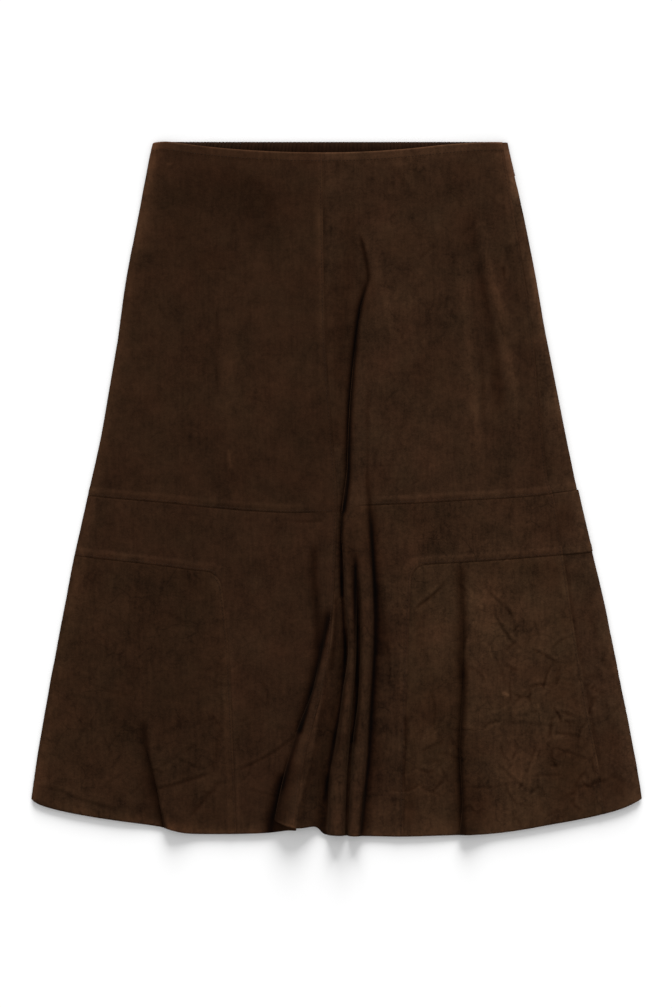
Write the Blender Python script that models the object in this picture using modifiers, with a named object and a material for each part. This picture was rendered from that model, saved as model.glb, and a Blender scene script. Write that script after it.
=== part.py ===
"""A flared a-line skirt in dark brown suede, laid flat on its back.

The skirt is one tube of leather on a flat cone: every piece of it is a stretch of the same
surface, read between two seams and two rows. Rows are counted in millimetres down the
middle from the straight edge of the back waist, and places across in millimetres from the
middle, plus to the right of the one who looks at the front. +Y points to the waist.
"""

import bmesh
import bpy
import numpy as np

MM = 0.001


def table(columns, *rows):
    """Holds measurements as named columns, the first of which says where each row applies."""
    return dict(zip(columns.split(), np.array(rows, dtype=float).T))


# Cloth and seams
WALL = 1.2
SEAM_GAP = 0.3
BAND_WALL = 2.0
BAND_HEIGHT = 35.0
GATHERS = 84
GATHER_RISE = 1.3

# Cone that the tube is cut on, its apex above the waist
APEX_ACROSS = -11.6
APEX_TO_WAIST = 916.0
MIDDLE_ROW = 350.77

# Nominal rows of the cross seams and the hem
WAIST_ROW = 12.0
UPPER_SEAM_ROW = 373.0
LOWER_SEAM_ROW = 437.0
HEM_ROW = 700.0

# How the cloth turns at the sides, and how far in the left seam lies underneath
SIDE_TURN = 1.5
SIDE_RUN = 12.0
LEFT_SEAM_IN = 28.0
PRESSED = 2.3
CORNER_RADIUS = 14.0
CORNER_FADE = 45.0
CORNER_STEPS = (-0.6, -0.3, 0.25, 0.5)

# Half width of the tube at each side, over the row's distance from the apex
SIDES = table(
    "row left right",
    (12, 0.1859, 0.1985),
    (28, 0.1872, 0.1987),
    (70, 0.1873, 0.2000),
    (140, 0.1877, 0.2005),
    (220, 0.1844, 0.1988),
    (300, 0.1835, 0.1986),
    (380, 0.1853, 0.1988),
    (470, 0.1862, 0.2004),
    (560, 0.1861, 0.2007),
    (650, 0.1849, 0.1998),
    (700, 0.1831, 0.1981),
)

# Height of the front layer's middle over the floor, higher where it lies on the waistband
LIE = table(
    "row height",
    (12, 4.8),
    (48, 4.8),
    (80, 3.4),
    (373, 3.0),
    (620, 3.2),
    (700, 4.0),
)

# Rows at which the waist, the cross seams and the hem run, by the place across
FRONT_WAIST = table(
    "across row",
    (-185, 17.5),
    (-171, 13.7),
    (-132, 12.9),
    (-30, 11.3),
    (100, 11.2),
    (147, 14.4),
    (174, 19.5),
)
UPPER_SEAM = table(
    "across row",
    (-248, 379),
    (-156, 374),
    (-55, 375),
    (4, 374),
    (28, 367.5),
    (116, 369),
    (200, 375),
    (244, 377),
)
LOWER_SEAM = table(
    "across row",
    (-260, 441),
    (-185, 438),
    (-118, 439),
    (95, 430.5),
    (132, 432),
    (185, 435),
    (262, 441),
)
FRONT_HEM = table(
    "across row",
    (-309, 689.5),
    (-306, 693),
    (-299, 696.3),
    (-288, 697.8),
    (-246, 699),
    (-180, 699.2),
    (-167, 702.3),
    (-152, 704.5),
    (-118, 702.5),
    (-66, 698.5),
    (-39, 694.5),
    (-10, 699.5),
    (42, 702),
    (71, 703.8),
    (105, 704.5),
    (137, 706.5),
    (171, 708),
    (213, 705.5),
    (240, 705.2),
    (274, 703.3),
    (288, 702),
    (299, 700),
    (306, 697.5),
    (309, 694.5),
)
BACK_UPPER_SEAM = table(
    "across row",
    (-250, 379),
    (250, 377),
)
BACK_LOWER_SEAM = table(
    "across row",
    (-260, 441),
    (260, 441),
)
BACK_HEM = table(
    "across row",
    (-309, 689),
    (-280, 690),
    (0, 687),
    (280, 692),
    (309, 693),
)

# Seams that run down the skirt
LEFT_PANEL_SEAM = table(
    "row across",
    (12, -96),
    (373, -122),
    (439, -117.5),
    (468, -112.5),
    (527, -105.5),
    (620, -100.5),
    (700, -99),
)
RIGHT_PANEL_SEAM = table(
    "row across",
    (12, 72),
    (373, 79),
    (442, 76.5),
    (487, 73),
    (601, 69),
    (700, 67),
)
RIGHT_SIDE_SEAM = table(
    "row across",
    (12, 170),
    (118, 186.5),
    (200, 199.5),
    (296, 208.5),
    (357, 214.5),
    (379, 221.5),
    (428, 229),
    (501, 239.5),
    (592, 255),
    (657, 268),
    (705, 275),
)

# Folds, from left to right. edge is the fold's left limit across, crest and width are
# measured right from it, under is how far the cloth's foot is tucked back under the edge,
# and rise is the height of the crest over the cloth that lies flat.
FOLD_COLUMNS = "row edge crest width under rise"
LEFT_HEM_FOLD = table(
    FOLD_COLUMNS,
    (12, -138, 6, 14, -4, 0),
    (373, -178, 8, 20, -4, 0),
    (560, -197, 8, 24, -4, 0),
    (610, -194.5, 8, 26, -2, 1),
    (644, -185.5, 8, 28, 2, 3),
    (673, -179.5, 8, 30, 4, 5),
    (705, -173.5, 8, 32, 5, 6.2),
)
FLARE_FOLD = table(
    FOLD_COLUMNS,
    (12, -22, 8, 16, -3, 0),
    (190, -19, 8, 16, -3, 0),
    (293, -11, 7.5, 14, -3, 0),
    (374, -4, 5.5, 9, -2, 0),
    (422, -5, 4.5, 9.5, -3, 0.5),
    (463, -8, 5.5, 13, -4, 2.5),
    (513, -12.6, 5, 20, -3, 7.5),
    (560, -23, 7, 26, -1, 10.5),
    (606, -40, 13, 33, 3, 12),
    (652, -54, 18, 37, 12, 13),
    (700, -66, 24, 47, 26, 13),
)
ROLL_FOLD = table(
    FOLD_COLUMNS,
    (12, 18, 4, 8, -3, 0),
    (85, 22, 3, 8, -3, 0.3),
    (142, 34, 4, 9, -2, 2),
    (172, 24.7, 5, 10, 1, 3),
    (229, 16.7, 5, 11, 4, 4.5),
    (291, 11.6, 6, 12, 7, 6),
    (329, 10, 7, 13, 8, 7.5),
    (385, 3.5, 9, 16, 9, 10.5),
    (422, 6.6, 8, 14, 4, 12),
    (463, 8.6, 6, 12, 1, 12.5),
    (513, 13, 3.2, 7, 0, 13),
    (560, 7, 5, 10.2, -0.5, 13),
    (606, 1.5, 6, 11.7, -1, 13),
    (652, -6, 8, 16, -1, 13),
    (700, -7.6, 8, 16, -1, 13),
)
TWIN_FOLD = table(
    FOLD_COLUMNS,
    (12, 31, 6, 20, -3, 0),
    (142, 47, 5, 20, -3, 1.5),
    (229, 32, 5, 28, -3, 3.5),
    (291, 28, 4, 26, -3, 5),
    (329, 26, 3, 16, -2, 7),
    (385, 22, 3, 13, -1, 10),
    (422, 22.5, 4, 13.5, -1, 11.5),
    (463, 24.5, 5, 12.5, -0.5, 12.5),
    (513, 25, 6, 12, 0, 13),
    (560, 23, 5.5, 10.8, 0, 13),
    (606, 17.5, 7, 14.2, 0, 13),
    (652, 14.8, 7, 14, 0, 12.5),
    (700, 12.8, 6, 11, 0, 12),
)
RIGHT_HEM_FOLD = table(
    FOLD_COLUMNS,
    (12, 98, 8, 24, -4, 0),
    (373, 116, 8, 26, -4, 0),
    (436, 121, 8, 28, -4, 0),
    (475, 129.5, 8, 28, -1, 2.2),
    (542, 128, 8, 30, 2, 3.6),
    (613, 124, 8, 30, 3.5, 5),
    (672, 127, 8, 30, 4, 5.5),
    (705, 124, 8, 30, 4, 6),
)

# The roll parts into two below these rows
SPLIT_START = 428.0
SPLIT_END = 505.0

# How much higher the hem of the flaring fold sits than the cloth beside it
FLARE_HEM_LIFT = {"foot": -2, "edge": 16, "top": 9, "crest": 1, "shoulder": 3, "base": 8}

# Colours, linear
SUEDE_LEFT = (0.028, 0.013, 0.0065)
SUEDE_RIGHT = (0.034, 0.016, 0.0080)
SUEDE_BACK = (0.030, 0.014, 0.0070)
SUEDE_INSIDE = (0.024, 0.011, 0.0065)


def read(rows, column, at):
    """Reads a column of a table between its rows, on a smooth curve with no overshoot."""
    place, value = next(iter(rows.values())), rows[column]
    step = np.diff(value) / np.diff(place)
    before, after = step[:-1], step[1:]
    same_way = before * after > 0
    inner = np.where(same_way, 2 * before * after / np.where(same_way, before + after, 1), 0)
    slope = np.concatenate((step[:1], inner, step[-1:]))
    at = np.clip(at, place[0], place[-1])
    i = np.clip(np.searchsorted(place, at, side="right") - 1, 0, len(place) - 2)
    run = place[i + 1] - place[i]
    t = (at - place[i]) / run
    rest = 1 - t
    ends = value[i] * (1 + 2 * t) * rest**2 + value[i + 1] * (3 - 2 * t) * t**2
    return ends + run * (slope[i] * t * rest**2 - slope[i + 1] * t**2 * rest)


def ease(start, stop, at):
    """Goes from 0 to 1 between two places, with soft ends."""
    t = np.clip((at - start) / (stop - start), 0, 1)
    return t * t * (3 - 2 * t)


def actual_row(row, across, back):
    """Bends the nominal rows so that waist, seams and hem run where they do on the cloth."""
    if back:
        waist = np.hypot(across - APEX_ACROSS, APEX_TO_WAIST) - APEX_TO_WAIST
        tables = (BACK_UPPER_SEAM, BACK_LOWER_SEAM, BACK_HEM)
    else:
        waist = read(FRONT_WAIST, "row", across)
        tables = (UPPER_SEAM, LOWER_SEAM, FRONT_HEM)
    lines = [waist] + [read(line, "row", across) for line in tables]
    nominal = (WAIST_ROW, UPPER_SEAM_ROW, LOWER_SEAM_ROW, HEM_ROW)
    result = lines[0]
    for upper, lower, start, stop in zip(lines, lines[1:], nominal, nominal[1:]):
        result = result + (lower - upper) * np.clip((row - start) / (stop - start), 0, 1)
    return result


def fold_points(form, row, last, lie):
    """Gives the points across of one fold: name, place across and height."""
    edge, crest, width, under, rise = (read(form, column, row) for column in FOLD_COLUMNS.split()[1:])
    steep = ease(0.2, 0.9, rise / width)
    foot = edge + under
    approach = foot - np.minimum(7, (foot - last) / 2)
    low = lie + (PRESSED - lie) * ease(0, 3, rise)
    fall = crest + (width - crest) * (0.5 + 0.38 * steep)
    return [
        ("approach", approach, low),
        ("foot", foot, low),
        ("tuck", foot, low + 0.22 * rise),
        ("edge", edge, low + 0.5 * rise),
        ("top", edge + 0.35 * crest, lie + 0.95 * rise),
        ("crest", edge + crest, lie + 1.04 * rise),
        ("shoulder", edge + fall, lie + (0.55 + 0.3 * steep) * rise),
        ("base", edge + width, low + (lie - low) * (1 - steep)),
    ]


def control_net(row):
    """Lists the tube's control points across, all round, at each of the rows given."""
    reach = APEX_TO_WAIST + row
    left = APEX_ACROSS - read(SIDES, "left", row) * reach
    right = APEX_ACROSS + read(SIDES, "right", row) * reach
    lie = read(LIE, "height", row)
    floor = np.full_like(row, WALL / 2)
    net = []

    def add(name, across, height, back=False, lift=0.0):
        net.append((name, across, height, actual_row(row, across, back) - lift))

    def spread(name, across, count, height, back=False):
        start = net[-1][1]
        for k in range(1, count + 1):
            add(f"{name} {k}", start + (across - start) * k / (count + 1), height, back)

    def fold(name, form, count):
        foot = read(form, "edge", row) + read(form, "under", row)
        spread(f"before {name}", foot - 9, count, lie)
        points = fold_points(form, row, net[-1][1], lie)
        fall = ease(LOWER_SEAM_ROW, HEM_ROW, row)
        for point, across, height in points:
            lift = FLARE_HEM_LIFT.get(point, 0) * fall if name == "flare" else 0
            add(f"{name} {point}", across, height, lift=lift)

    def bridge(first, last):
        """Carries the cloth straight over the crease between two crests, above the split."""
        names = [entry[0] for entry in net]
        start, stop = names.index(first), names.index(last)
        deep = ease(SPLIT_START, SPLIT_END, row)
        for k in range(start + 1, stop):
            name, across, height, along = net[k]
            t = (across - net[start][1]) / (net[stop][1] - net[start][1])
            straight = net[start][2] + (net[stop][2] - net[start][2]) * t
            net[k] = (name, across, height * deep + straight * (1 - deep), along)

    add("left seam", left + LEFT_SEAM_IN, floor, back=True)
    add("left under", left + SIDE_RUN, floor, back=True)
    add("left foot", left + SIDE_TURN, floor)
    add("left side", left - SIDE_TURN / 2, (floor + lie) / 2)
    add("left brow", left + SIDE_TURN, lie)
    add("left face", left + SIDE_RUN, lie)
    fold("left hem", LEFT_HEM_FOLD, 2)
    spread("beside left seam", read(LEFT_PANEL_SEAM, "across", row), 1, lie)
    add("left panel seam", read(LEFT_PANEL_SEAM, "across", row), lie)
    fold("flare", FLARE_FOLD, 3)
    fold("roll", ROLL_FOLD, 0)
    fold("twin", TWIN_FOLD, 0)
    bridge("roll crest", "twin crest")
    spread("beside right seam", read(RIGHT_PANEL_SEAM, "across", row), 1, lie)
    add("right panel seam", read(RIGHT_PANEL_SEAM, "across", row), lie)
    fold("right hem", RIGHT_HEM_FOLD, 1)
    spread("beside side seam", read(RIGHT_SIDE_SEAM, "across", row), 3, lie)
    add("right side seam", read(RIGHT_SIDE_SEAM, "across", row), lie)
    spread("right face", right - SIDE_TURN, 1, lie)
    add("right brow", right - SIDE_TURN, lie)
    add("right side", right + SIDE_TURN / 2, (floor + lie) / 2)
    add("right foot", right - SIDE_TURN, floor)
    add("right under", right - SIDE_RUN, floor, back=True)
    spread("back", left + LEFT_SEAM_IN, 11, floor, back=True)
    return net


NAMES = [entry[0] for entry in control_net(np.array([WAIST_ROW]))]


def surface(column, row):
    """Places points of the tube, by column and row, as a cubic B-spline across."""
    net = control_net(row.ravel())
    control = np.array([entry[1:] for entry in net])
    count = len(net)
    whole = np.floor(column.ravel()).astype(int)
    t = column.ravel() - whole
    weights = (
        (1 - t) ** 3 / 6,
        (3 * t**3 - 6 * t**2 + 4) / 6,
        (-3 * t**3 + 3 * t**2 + 3 * t + 1) / 6,
        t**3 / 6,
    )
    each = np.arange(len(whole))
    across = np.zeros(len(whole))
    height = np.zeros(len(whole))
    along = np.zeros(len(whole))
    for k, weight in enumerate(weights):
        pick = control[(whole + k - 1) % count, :, each]
        across += weight * pick[:, 0]
        height += weight * pick[:, 1]
        along += weight * pick[:, 2]
    down = np.sqrt((APEX_TO_WAIST + along) ** 2 - (across - APEX_ACROSS) ** 2) - APEX_TO_WAIST
    placed = np.stack((across, MIDDLE_ROW - down, height), axis=-1) * MM
    return placed.reshape(column.shape + (3,))


def columns_between(first, last, fine=(), plain=(), corner=None):
    """Lists the columns from one seam to the next, finer over folds and beside a corner."""
    start, stop = NAMES.index(first), NAMES.index(last)
    if stop <= start:
        stop += len(NAMES)
    columns = [float(start)]
    for column in range(start + 1, stop + 1):
        name = NAMES[column % len(NAMES)]
        previous = NAMES[(column - 1) % len(NAMES)]
        if any(name.startswith(fold) for fold in fine) and any(previous.startswith(fold) for fold in fine):
            columns.append(column - 0.5)
        skipped = any(name.startswith(fold) for fold in plain) and not name.endswith(("foot", "crest"))
        if column == stop or not skipped:
            columns.append(float(column))
    if corner:
        beside = [NAMES.index(corner) + step for step in CORNER_STEPS]
        columns += [column for column in beside if start < column < stop]
    return sorted(columns)


def round_corner(column, row, seam, side):
    """Rounds the corner where a side panel's top seam turns down into its inner seam."""
    here = surface(np.array([seam, seam + side]), np.array([LOWER_SEAM_ROW, LOWER_SEAM_ROW]))
    pace = np.linalg.norm(here[1] - here[0]) / MM
    u = (column - seam) * side * pace
    v = LOWER_SEAM_ROW - row
    level = np.maximum(-u, v)
    radius = CORNER_RADIUS * np.clip(1 - (level / CORNER_FADE) ** 2, 0, 1) ** 2
    arm_u = np.clip((-u - (level - radius)) / np.maximum(radius, 1e-9), 0, 1)
    arm_v = np.clip((v - (level - radius)) / np.maximum(radius, 1e-9), 0, 1)
    near = (arm_u > 0) & (arm_v > 0) & (radius > 0)
    turn = np.where(v >= -u, np.pi / 2 - arm_u * np.pi / 4, arm_v * np.pi / 4)
    new_u = -(level - radius + radius * np.cos(turn))
    new_v = level - radius + radius * np.sin(turn)
    u = np.where(near, new_u, u)
    v = np.where(near, new_v, v)
    return seam + u * side / pace, LOWER_SEAM_ROW - v


def draw_in(mesh, distance):
    """Moves the border of an open mesh inward, so that it stays clear of its neighbours."""
    moves = {}
    for vertex in mesh.verts:
        if not vertex.is_boundary:
            continue
        inner = [edge for edge in vertex.link_edges if not edge.is_boundary]
        edges = inner if inner else list(vertex.link_edges)
        moves[vertex] = [(edge.other_vert(vertex).co - vertex.co).normalized() for edge in edges]
    for vertex, ways in moves.items():
        for way in ways:
            vertex.co += way * distance


def suede(name, colour):
    """Makes the piece's own suede."""
    material = bpy.data.materials.new(name)
    material.use_nodes = True
    shader = material.node_tree.nodes["Principled BSDF"]
    shader.inputs["Base Color"].default_value = (*colour, 1)
    shader.inputs["Roughness"].default_value = 0.95
    shader.inputs["Metallic"].default_value = 0
    return material


def make_piece(name, columns, rows, colour, wall=WALL, corner=None, cut=None, wave=None):
    """Makes one cut piece: a grid laid on the tube, with its wall.

    corner is the column and side of a rounded corner, cut is a test of column and row for
    what the piece leaves out, and wave adds height to the grid.
    """
    across, down = len(columns) - 1, len(rows) - 1
    mesh = bmesh.new()
    bmesh.ops.create_grid(mesh, x_segments=across, y_segments=down, size=0.5)
    mesh.verts.ensure_lookup_table()
    i = np.array([round((vertex.co.x + 0.5) * across) for vertex in mesh.verts])
    j = np.array([round((0.5 - vertex.co.y) * down) for vertex in mesh.verts])
    column = np.array(columns)[i]
    row = np.array(rows)[j]
    outside = []
    for face in mesh.faces:
        corners = [vertex.index for vertex in face.verts]
        if cut and cut(column[corners].mean(), row[corners].mean()):
            outside.append(face)
    if corner:
        column, row = round_corner(column, row, *corner)
    places = surface(column, row)
    if wave is not None:
        places[:, 2] += wave(column)
    for vertex, place in zip(mesh.verts, places):
        vertex.co = place
    bmesh.ops.delete(mesh, geom=outside, context="FACES")
    draw_in(mesh, SEAM_GAP / 2 * MM)
    data = bpy.data.meshes.new(name)
    mesh.to_mesh(data)
    mesh.free()
    data.shade_smooth()
    data.materials.append(suede(name, colour))
    piece = bpy.data.objects.new(name, data)
    skirt.objects.link(piece)
    solid = piece.modifiers.new("Wall", "SOLIDIFY")
    solid.thickness = wall * MM
    solid.offset = 0
    return piece


def gather_wave(column):
    """Gathers of the elastic waistband, which die out at the side seams."""
    start = NAMES.index("right under")
    stop = NAMES.index("left seam") + len(NAMES)
    t = (column - start) / (stop - start)
    inside = ease(0, 0.04, t) * ease(0, 0.04, 1 - t)
    return ((BAND_WALL - WALL) / 2 + GATHER_RISE / 2 * inside * (1 - np.cos(2 * np.pi * GATHERS * t))) * MM


for old in list(bpy.data.objects):
    bpy.data.objects.remove(old)
skirt = bpy.data.collections.new("a_line_skirt")
bpy.context.scene.collection.children.link(skirt)

# Rows of each run of pieces, the same on both sides of a side seam
band_foot = WAIST_ROW + BAND_HEIGHT
waistband_rows = np.linspace(WAIST_ROW, band_foot, 3)
back_upper_rows = np.linspace(band_foot, UPPER_SEAM_ROW, 12)
upper_rows = np.concatenate((waistband_rows, back_upper_rows[1:]))
band_rows = np.linspace(UPPER_SEAM_ROW, LOWER_SEAM_ROW, 4)
corner_rows = LOWER_SEAM_ROW + CORNER_RADIUS * np.array((0, 0.5, 1.1))
lower_rows = np.concatenate((corner_rows, np.linspace(corner_rows[-1], HEM_ROW, 12)[1:]))
centre_rows = np.concatenate((band_rows, lower_rows[1:]))
upper_folds = {"fine": ("roll", "twin"), "plain": ("left hem", "right hem")}
lower_folds = {"fine": ("flare", "roll", "twin", "left hem", "right hem")}
left_corner = (float(NAMES.index("left panel seam")), -1)
right_corner = (float(NAMES.index("right panel seam")), 1)
left_folds = {**lower_folds, "corner": "left panel seam"}
right_folds = {**lower_folds, "corner": "right panel seam"}

# Front above the band, in two halves with a seam down the middle
make_piece(
    "front_upper_left",
    columns_between("left seam", "flare crest", **upper_folds),
    upper_rows,
    SUEDE_LEFT,
)
make_piece(
    "front_upper_right",
    columns_between("flare crest", "right side seam", **upper_folds),
    upper_rows,
    SUEDE_RIGHT,
)

# Front band and middle in one piece a side, L-shaped round the lower side panel
make_piece(
    "front_centre_left",
    columns_between("left seam", "flare crest", **left_folds),
    centre_rows,
    SUEDE_LEFT,
    corner=left_corner,
    cut=lambda column, row: column < left_corner[0] and row > LOWER_SEAM_ROW,
)
make_piece(
    "front_centre_right",
    columns_between("flare crest", "right side seam", **right_folds),
    centre_rows,
    SUEDE_RIGHT,
    corner=right_corner,
    cut=lambda column, row: column > right_corner[0] and row > LOWER_SEAM_ROW,
)

# Lower side panels of the front
make_piece(
    "front_lower_left",
    columns_between("left seam", "left panel seam", **left_folds),
    lower_rows,
    SUEDE_LEFT,
    corner=left_corner,
)
make_piece(
    "front_lower_right",
    columns_between("right panel seam", "right side seam", **right_folds),
    lower_rows,
    SUEDE_RIGHT,
    corner=right_corner,
)

# Back: elastic waistband, upper, band and lower, each in one piece
back_columns = columns_between("right side seam", "left seam")
gather_start = float(NAMES.index("right under"))
gather_stop = float(back_columns[-1])
band_columns = [column for column in back_columns if column < gather_start]
band_columns += list(np.linspace(gather_start, gather_stop, GATHERS * 4 + 1))
make_piece(
    "back_waistband",
    band_columns,
    waistband_rows,
    SUEDE_INSIDE,
    wall=BAND_WALL,
    wave=gather_wave,
)
make_piece("back_upper", back_columns, back_upper_rows, SUEDE_BACK)
make_piece("back_band", back_columns, band_rows, SUEDE_BACK)
make_piece("back_lower", back_columns, lower_rows, SUEDE_BACK)
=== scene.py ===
"""Looks of a dark brown suede skirt that lies flat on a pale floor, seen from above.

Lengths are in millimetres until a place goes into a mesh. Rows are counted down the middle
from the straight edge of the back waist, and places across from the middle, plus to the
right of the one who looks at the front. +Y points to the waist and +Z out of the front.
"""

import bmesh
import bpy
import numpy as np
from mathutils import Matrix, Vector
from mathutils.bvhtree import BVHTree


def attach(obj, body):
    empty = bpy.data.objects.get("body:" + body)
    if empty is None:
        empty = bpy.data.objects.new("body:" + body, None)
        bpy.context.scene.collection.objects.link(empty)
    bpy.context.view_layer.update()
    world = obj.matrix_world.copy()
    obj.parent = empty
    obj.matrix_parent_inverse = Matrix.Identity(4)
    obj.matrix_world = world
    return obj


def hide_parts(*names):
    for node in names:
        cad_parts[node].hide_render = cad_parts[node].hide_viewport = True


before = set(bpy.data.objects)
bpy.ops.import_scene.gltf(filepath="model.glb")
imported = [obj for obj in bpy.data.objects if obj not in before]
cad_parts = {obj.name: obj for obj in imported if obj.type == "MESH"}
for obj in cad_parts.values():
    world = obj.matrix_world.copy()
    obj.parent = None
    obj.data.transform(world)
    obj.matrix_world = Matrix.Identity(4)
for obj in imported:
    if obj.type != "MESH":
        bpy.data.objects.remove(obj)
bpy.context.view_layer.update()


# Front panels above the band
#
# Two large suede panels joined down the middle of the front. The waist edge is turned in and
# stitched, and the seams' allowances are pressed up and to the left and stitched beside them.

MM = 0.001


def table(columns, *rows):
    """Holds measurements as named columns, the first of which says where each row applies."""
    return dict(zip(columns.split(), np.array(rows, dtype=float).T))


WALL = 1.2

# All panels are read from one tube of cloth, pressed flat, with its back on the floor. It is
# cut on a flat cone, and these give the apex above the waist
APEX_ACROSS = -11.6
APEX_TO_WAIST = 916.0
MIDDLE_ROW = 350.77

# Nominal rows of the cross seams and the hem
WAIST_ROW = 12.0
UPPER_SEAM_ROW = 373.0
LOWER_SEAM_ROW = 437.0
HEM_ROW = 700.0

# How the cloth turns at the sides, and how far in the left seam lies underneath
SIDE_TURN = 1.5
SIDE_RUN = 12.0
LEFT_SEAM_IN = 28.0

# Half width of the tube at each side, over the row's distance from the apex
SIDES = table(
    "row left right",
    (12, 0.1859, 0.1985),
    (28, 0.1872, 0.1987),
    (70, 0.1873, 0.2000),
    (140, 0.1877, 0.2005),
    (220, 0.1844, 0.1988),
    (300, 0.1835, 0.1986),
    (380, 0.1853, 0.1988),
    (470, 0.1862, 0.2004),
    (560, 0.1861, 0.2007),
    (650, 0.1849, 0.1998),
    (700, 0.1831, 0.1981),
)

# Height of the front layer's middle over the floor, higher where it lies on the waistband
LIE = table(
    "row height",
    (12, 4.8),
    (48, 4.8),
    (80, 3.4),
    (373, 3.0),
    (620, 3.2),
    (700, 4.0),
)

# Rows at which the waist, the cross seams and the hem run, by the place across
FRONT_WAIST = table(
    "across row",
    (-185, 17.5),
    (-171, 13.7),
    (-132, 12.9),
    (-30, 11.3),
    (100, 11.2),
    (147, 14.4),
    (174, 19.5),
)
UPPER_SEAM = table(
    "across row",
    (-248, 379),
    (-156, 374),
    (-55, 375),
    (4, 374),
    (28, 367.5),
    (116, 369),
    (200, 375),
    (244, 377),
)
LOWER_SEAM = table(
    "across row",
    (-260, 441),
    (-185, 438),
    (-118, 439),
    (95, 430.5),
    (132, 432),
    (185, 435),
    (262, 441),
)
FRONT_HEM = table(
    "across row",
    (-309, 689.5),
    (-306, 693),
    (-299, 696.3),
    (-288, 697.8),
    (-246, 699),
    (-180, 699.2),
    (-167, 702.3),
    (-152, 704.5),
    (-118, 702.5),
    (-66, 698.5),
    (-39, 694.5),
    (-10, 699.5),
    (42, 702),
    (71, 703.8),
    (105, 704.5),
    (137, 706.5),
    (171, 708),
    (213, 705.5),
    (240, 705.2),
    (274, 703.3),
    (288, 702),
    (299, 700),
    (306, 697.5),
    (309, 694.5),
)
BACK_UPPER_SEAM = table(
    "across row",
    (-250, 379),
    (250, 377),
)
BACK_LOWER_SEAM = table(
    "across row",
    (-260, 441),
    (260, 441),
)
BACK_HEM = table(
    "across row",
    (-309, 689),
    (-280, 690),
    (0, 687),
    (280, 692),
    (309, 693),
)

# Seams that run down the skirt
LEFT_PANEL_SEAM = table(
    "row across",
    (12, -96),
    (373, -122),
    (439, -117.5),
    (468, -112.5),
    (527, -105.5),
    (620, -100.5),
    (700, -99),
)
RIGHT_PANEL_SEAM = table(
    "row across",
    (12, 72),
    (373, 79),
    (442, 76.5),
    (487, 73),
    (601, 69),
    (700, 67),
)
RIGHT_SIDE_SEAM = table(
    "row across",
    (12, 170),
    (118, 186.5),
    (200, 199.5),
    (296, 208.5),
    (357, 214.5),
    (379, 221.5),
    (428, 229),
    (501, 239.5),
    (592, 255),
    (657, 268),
    (705, 275),
)

# Folds that the flared cut throws when it is laid down, from left to right. edge is the
# fold's left limit across, crest and width are measured right from it, under is how far the
# cloth's foot is tucked back under the edge, and rise is the crest's height over flat cloth.
FOLD_COLUMNS = "row edge crest width under rise"
LEFT_HEM_FOLD = table(
    FOLD_COLUMNS,
    (12, -138, 6, 14, -4, 0),
    (373, -178, 8, 20, -4, 0),
    (560, -197, 8, 24, -4, 0),
    (610, -194.5, 8, 26, -2, 1),
    (644, -185.5, 8, 28, 2, 3),
    (673, -179.5, 8, 30, 4, 5),
    (705, -173.5, 8, 32, 5, 6.2),
)
FLARE_FOLD = table(
    FOLD_COLUMNS,
    (12, -22, 8, 16, -3, 0),
    (190, -19, 8, 16, -3, 0),
    (293, -11, 7.5, 14, -3, 0),
    (374, -4, 5.5, 9, -2, 0),
    (422, -5, 4.5, 9.5, -3, 0.5),
    (463, -8, 5.5, 13, -4, 2.5),
    (513, -12.6, 5, 20, -3, 7.5),
    (560, -23, 7, 26, -1, 10.5),
    (606, -40, 13, 33, 3, 12),
    (652, -54, 18, 37, 12, 13),
    (700, -66, 24, 47, 26, 13),
)
ROLL_FOLD = table(
    FOLD_COLUMNS,
    (12, 18, 4, 8, -3, 0),
    (85, 22, 3, 8, -3, 0.3),
    (142, 34, 4, 9, -2, 2),
    (172, 24.7, 5, 10, 1, 3),
    (229, 16.7, 5, 11, 4, 4.5),
    (291, 11.6, 6, 12, 7, 6),
    (329, 10, 7, 13, 8, 7.5),
    (385, 3.5, 9, 16, 9, 10.5),
    (422, 6.6, 8, 14, 4, 12),
    (463, 8.6, 6, 12, 1, 12.5),
    (513, 13, 3.2, 7, 0, 13),
    (560, 7, 5, 10.2, -0.5, 13),
    (606, 1.5, 6, 11.7, -1, 13),
    (652, -6, 8, 16, -1, 13),
    (700, -7.6, 8, 16, -1, 13),
)
TWIN_FOLD = table(
    FOLD_COLUMNS,
    (12, 31, 6, 20, -3, 0),
    (142, 47, 5, 20, -3, 1.5),
    (229, 32, 5, 28, -3, 3.5),
    (291, 28, 4, 26, -3, 5),
    (329, 26, 3, 16, -2, 7),
    (385, 22, 3, 13, -1, 10),
    (422, 22.5, 4, 13.5, -1, 11.5),
    (463, 24.5, 5, 12.5, -0.5, 12.5),
    (513, 25, 6, 12, 0, 13),
    (560, 23, 5.5, 10.8, 0, 13),
    (606, 17.5, 7, 14.2, 0, 13),
    (652, 14.8, 7, 14, 0, 12.5),
    (700, 12.8, 6, 11, 0, 12),
)
RIGHT_HEM_FOLD = table(
    FOLD_COLUMNS,
    (12, 98, 8, 24, -4, 0),
    (373, 116, 8, 26, -4, 0),
    (436, 121, 8, 28, -4, 0),
    (475, 129.5, 8, 28, -1, 2.2),
    (542, 128, 8, 30, 2, 3.6),
    (613, 124, 8, 30, 3.5, 5),
    (672, 127, 8, 30, 4, 5.5),
    (705, 124, 8, 30, 4, 6),
)

# The roll parts into two below these rows
SPLIT_START = 428.0
SPLIT_END = 505.0

# How much higher the hem of the flaring fold sits than the cloth beside it
FLARE_HEM_LIFT = {"foot": -2, "edge": 16, "top": 9, "crest": 1, "shoulder": 3, "base": 8}

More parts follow.
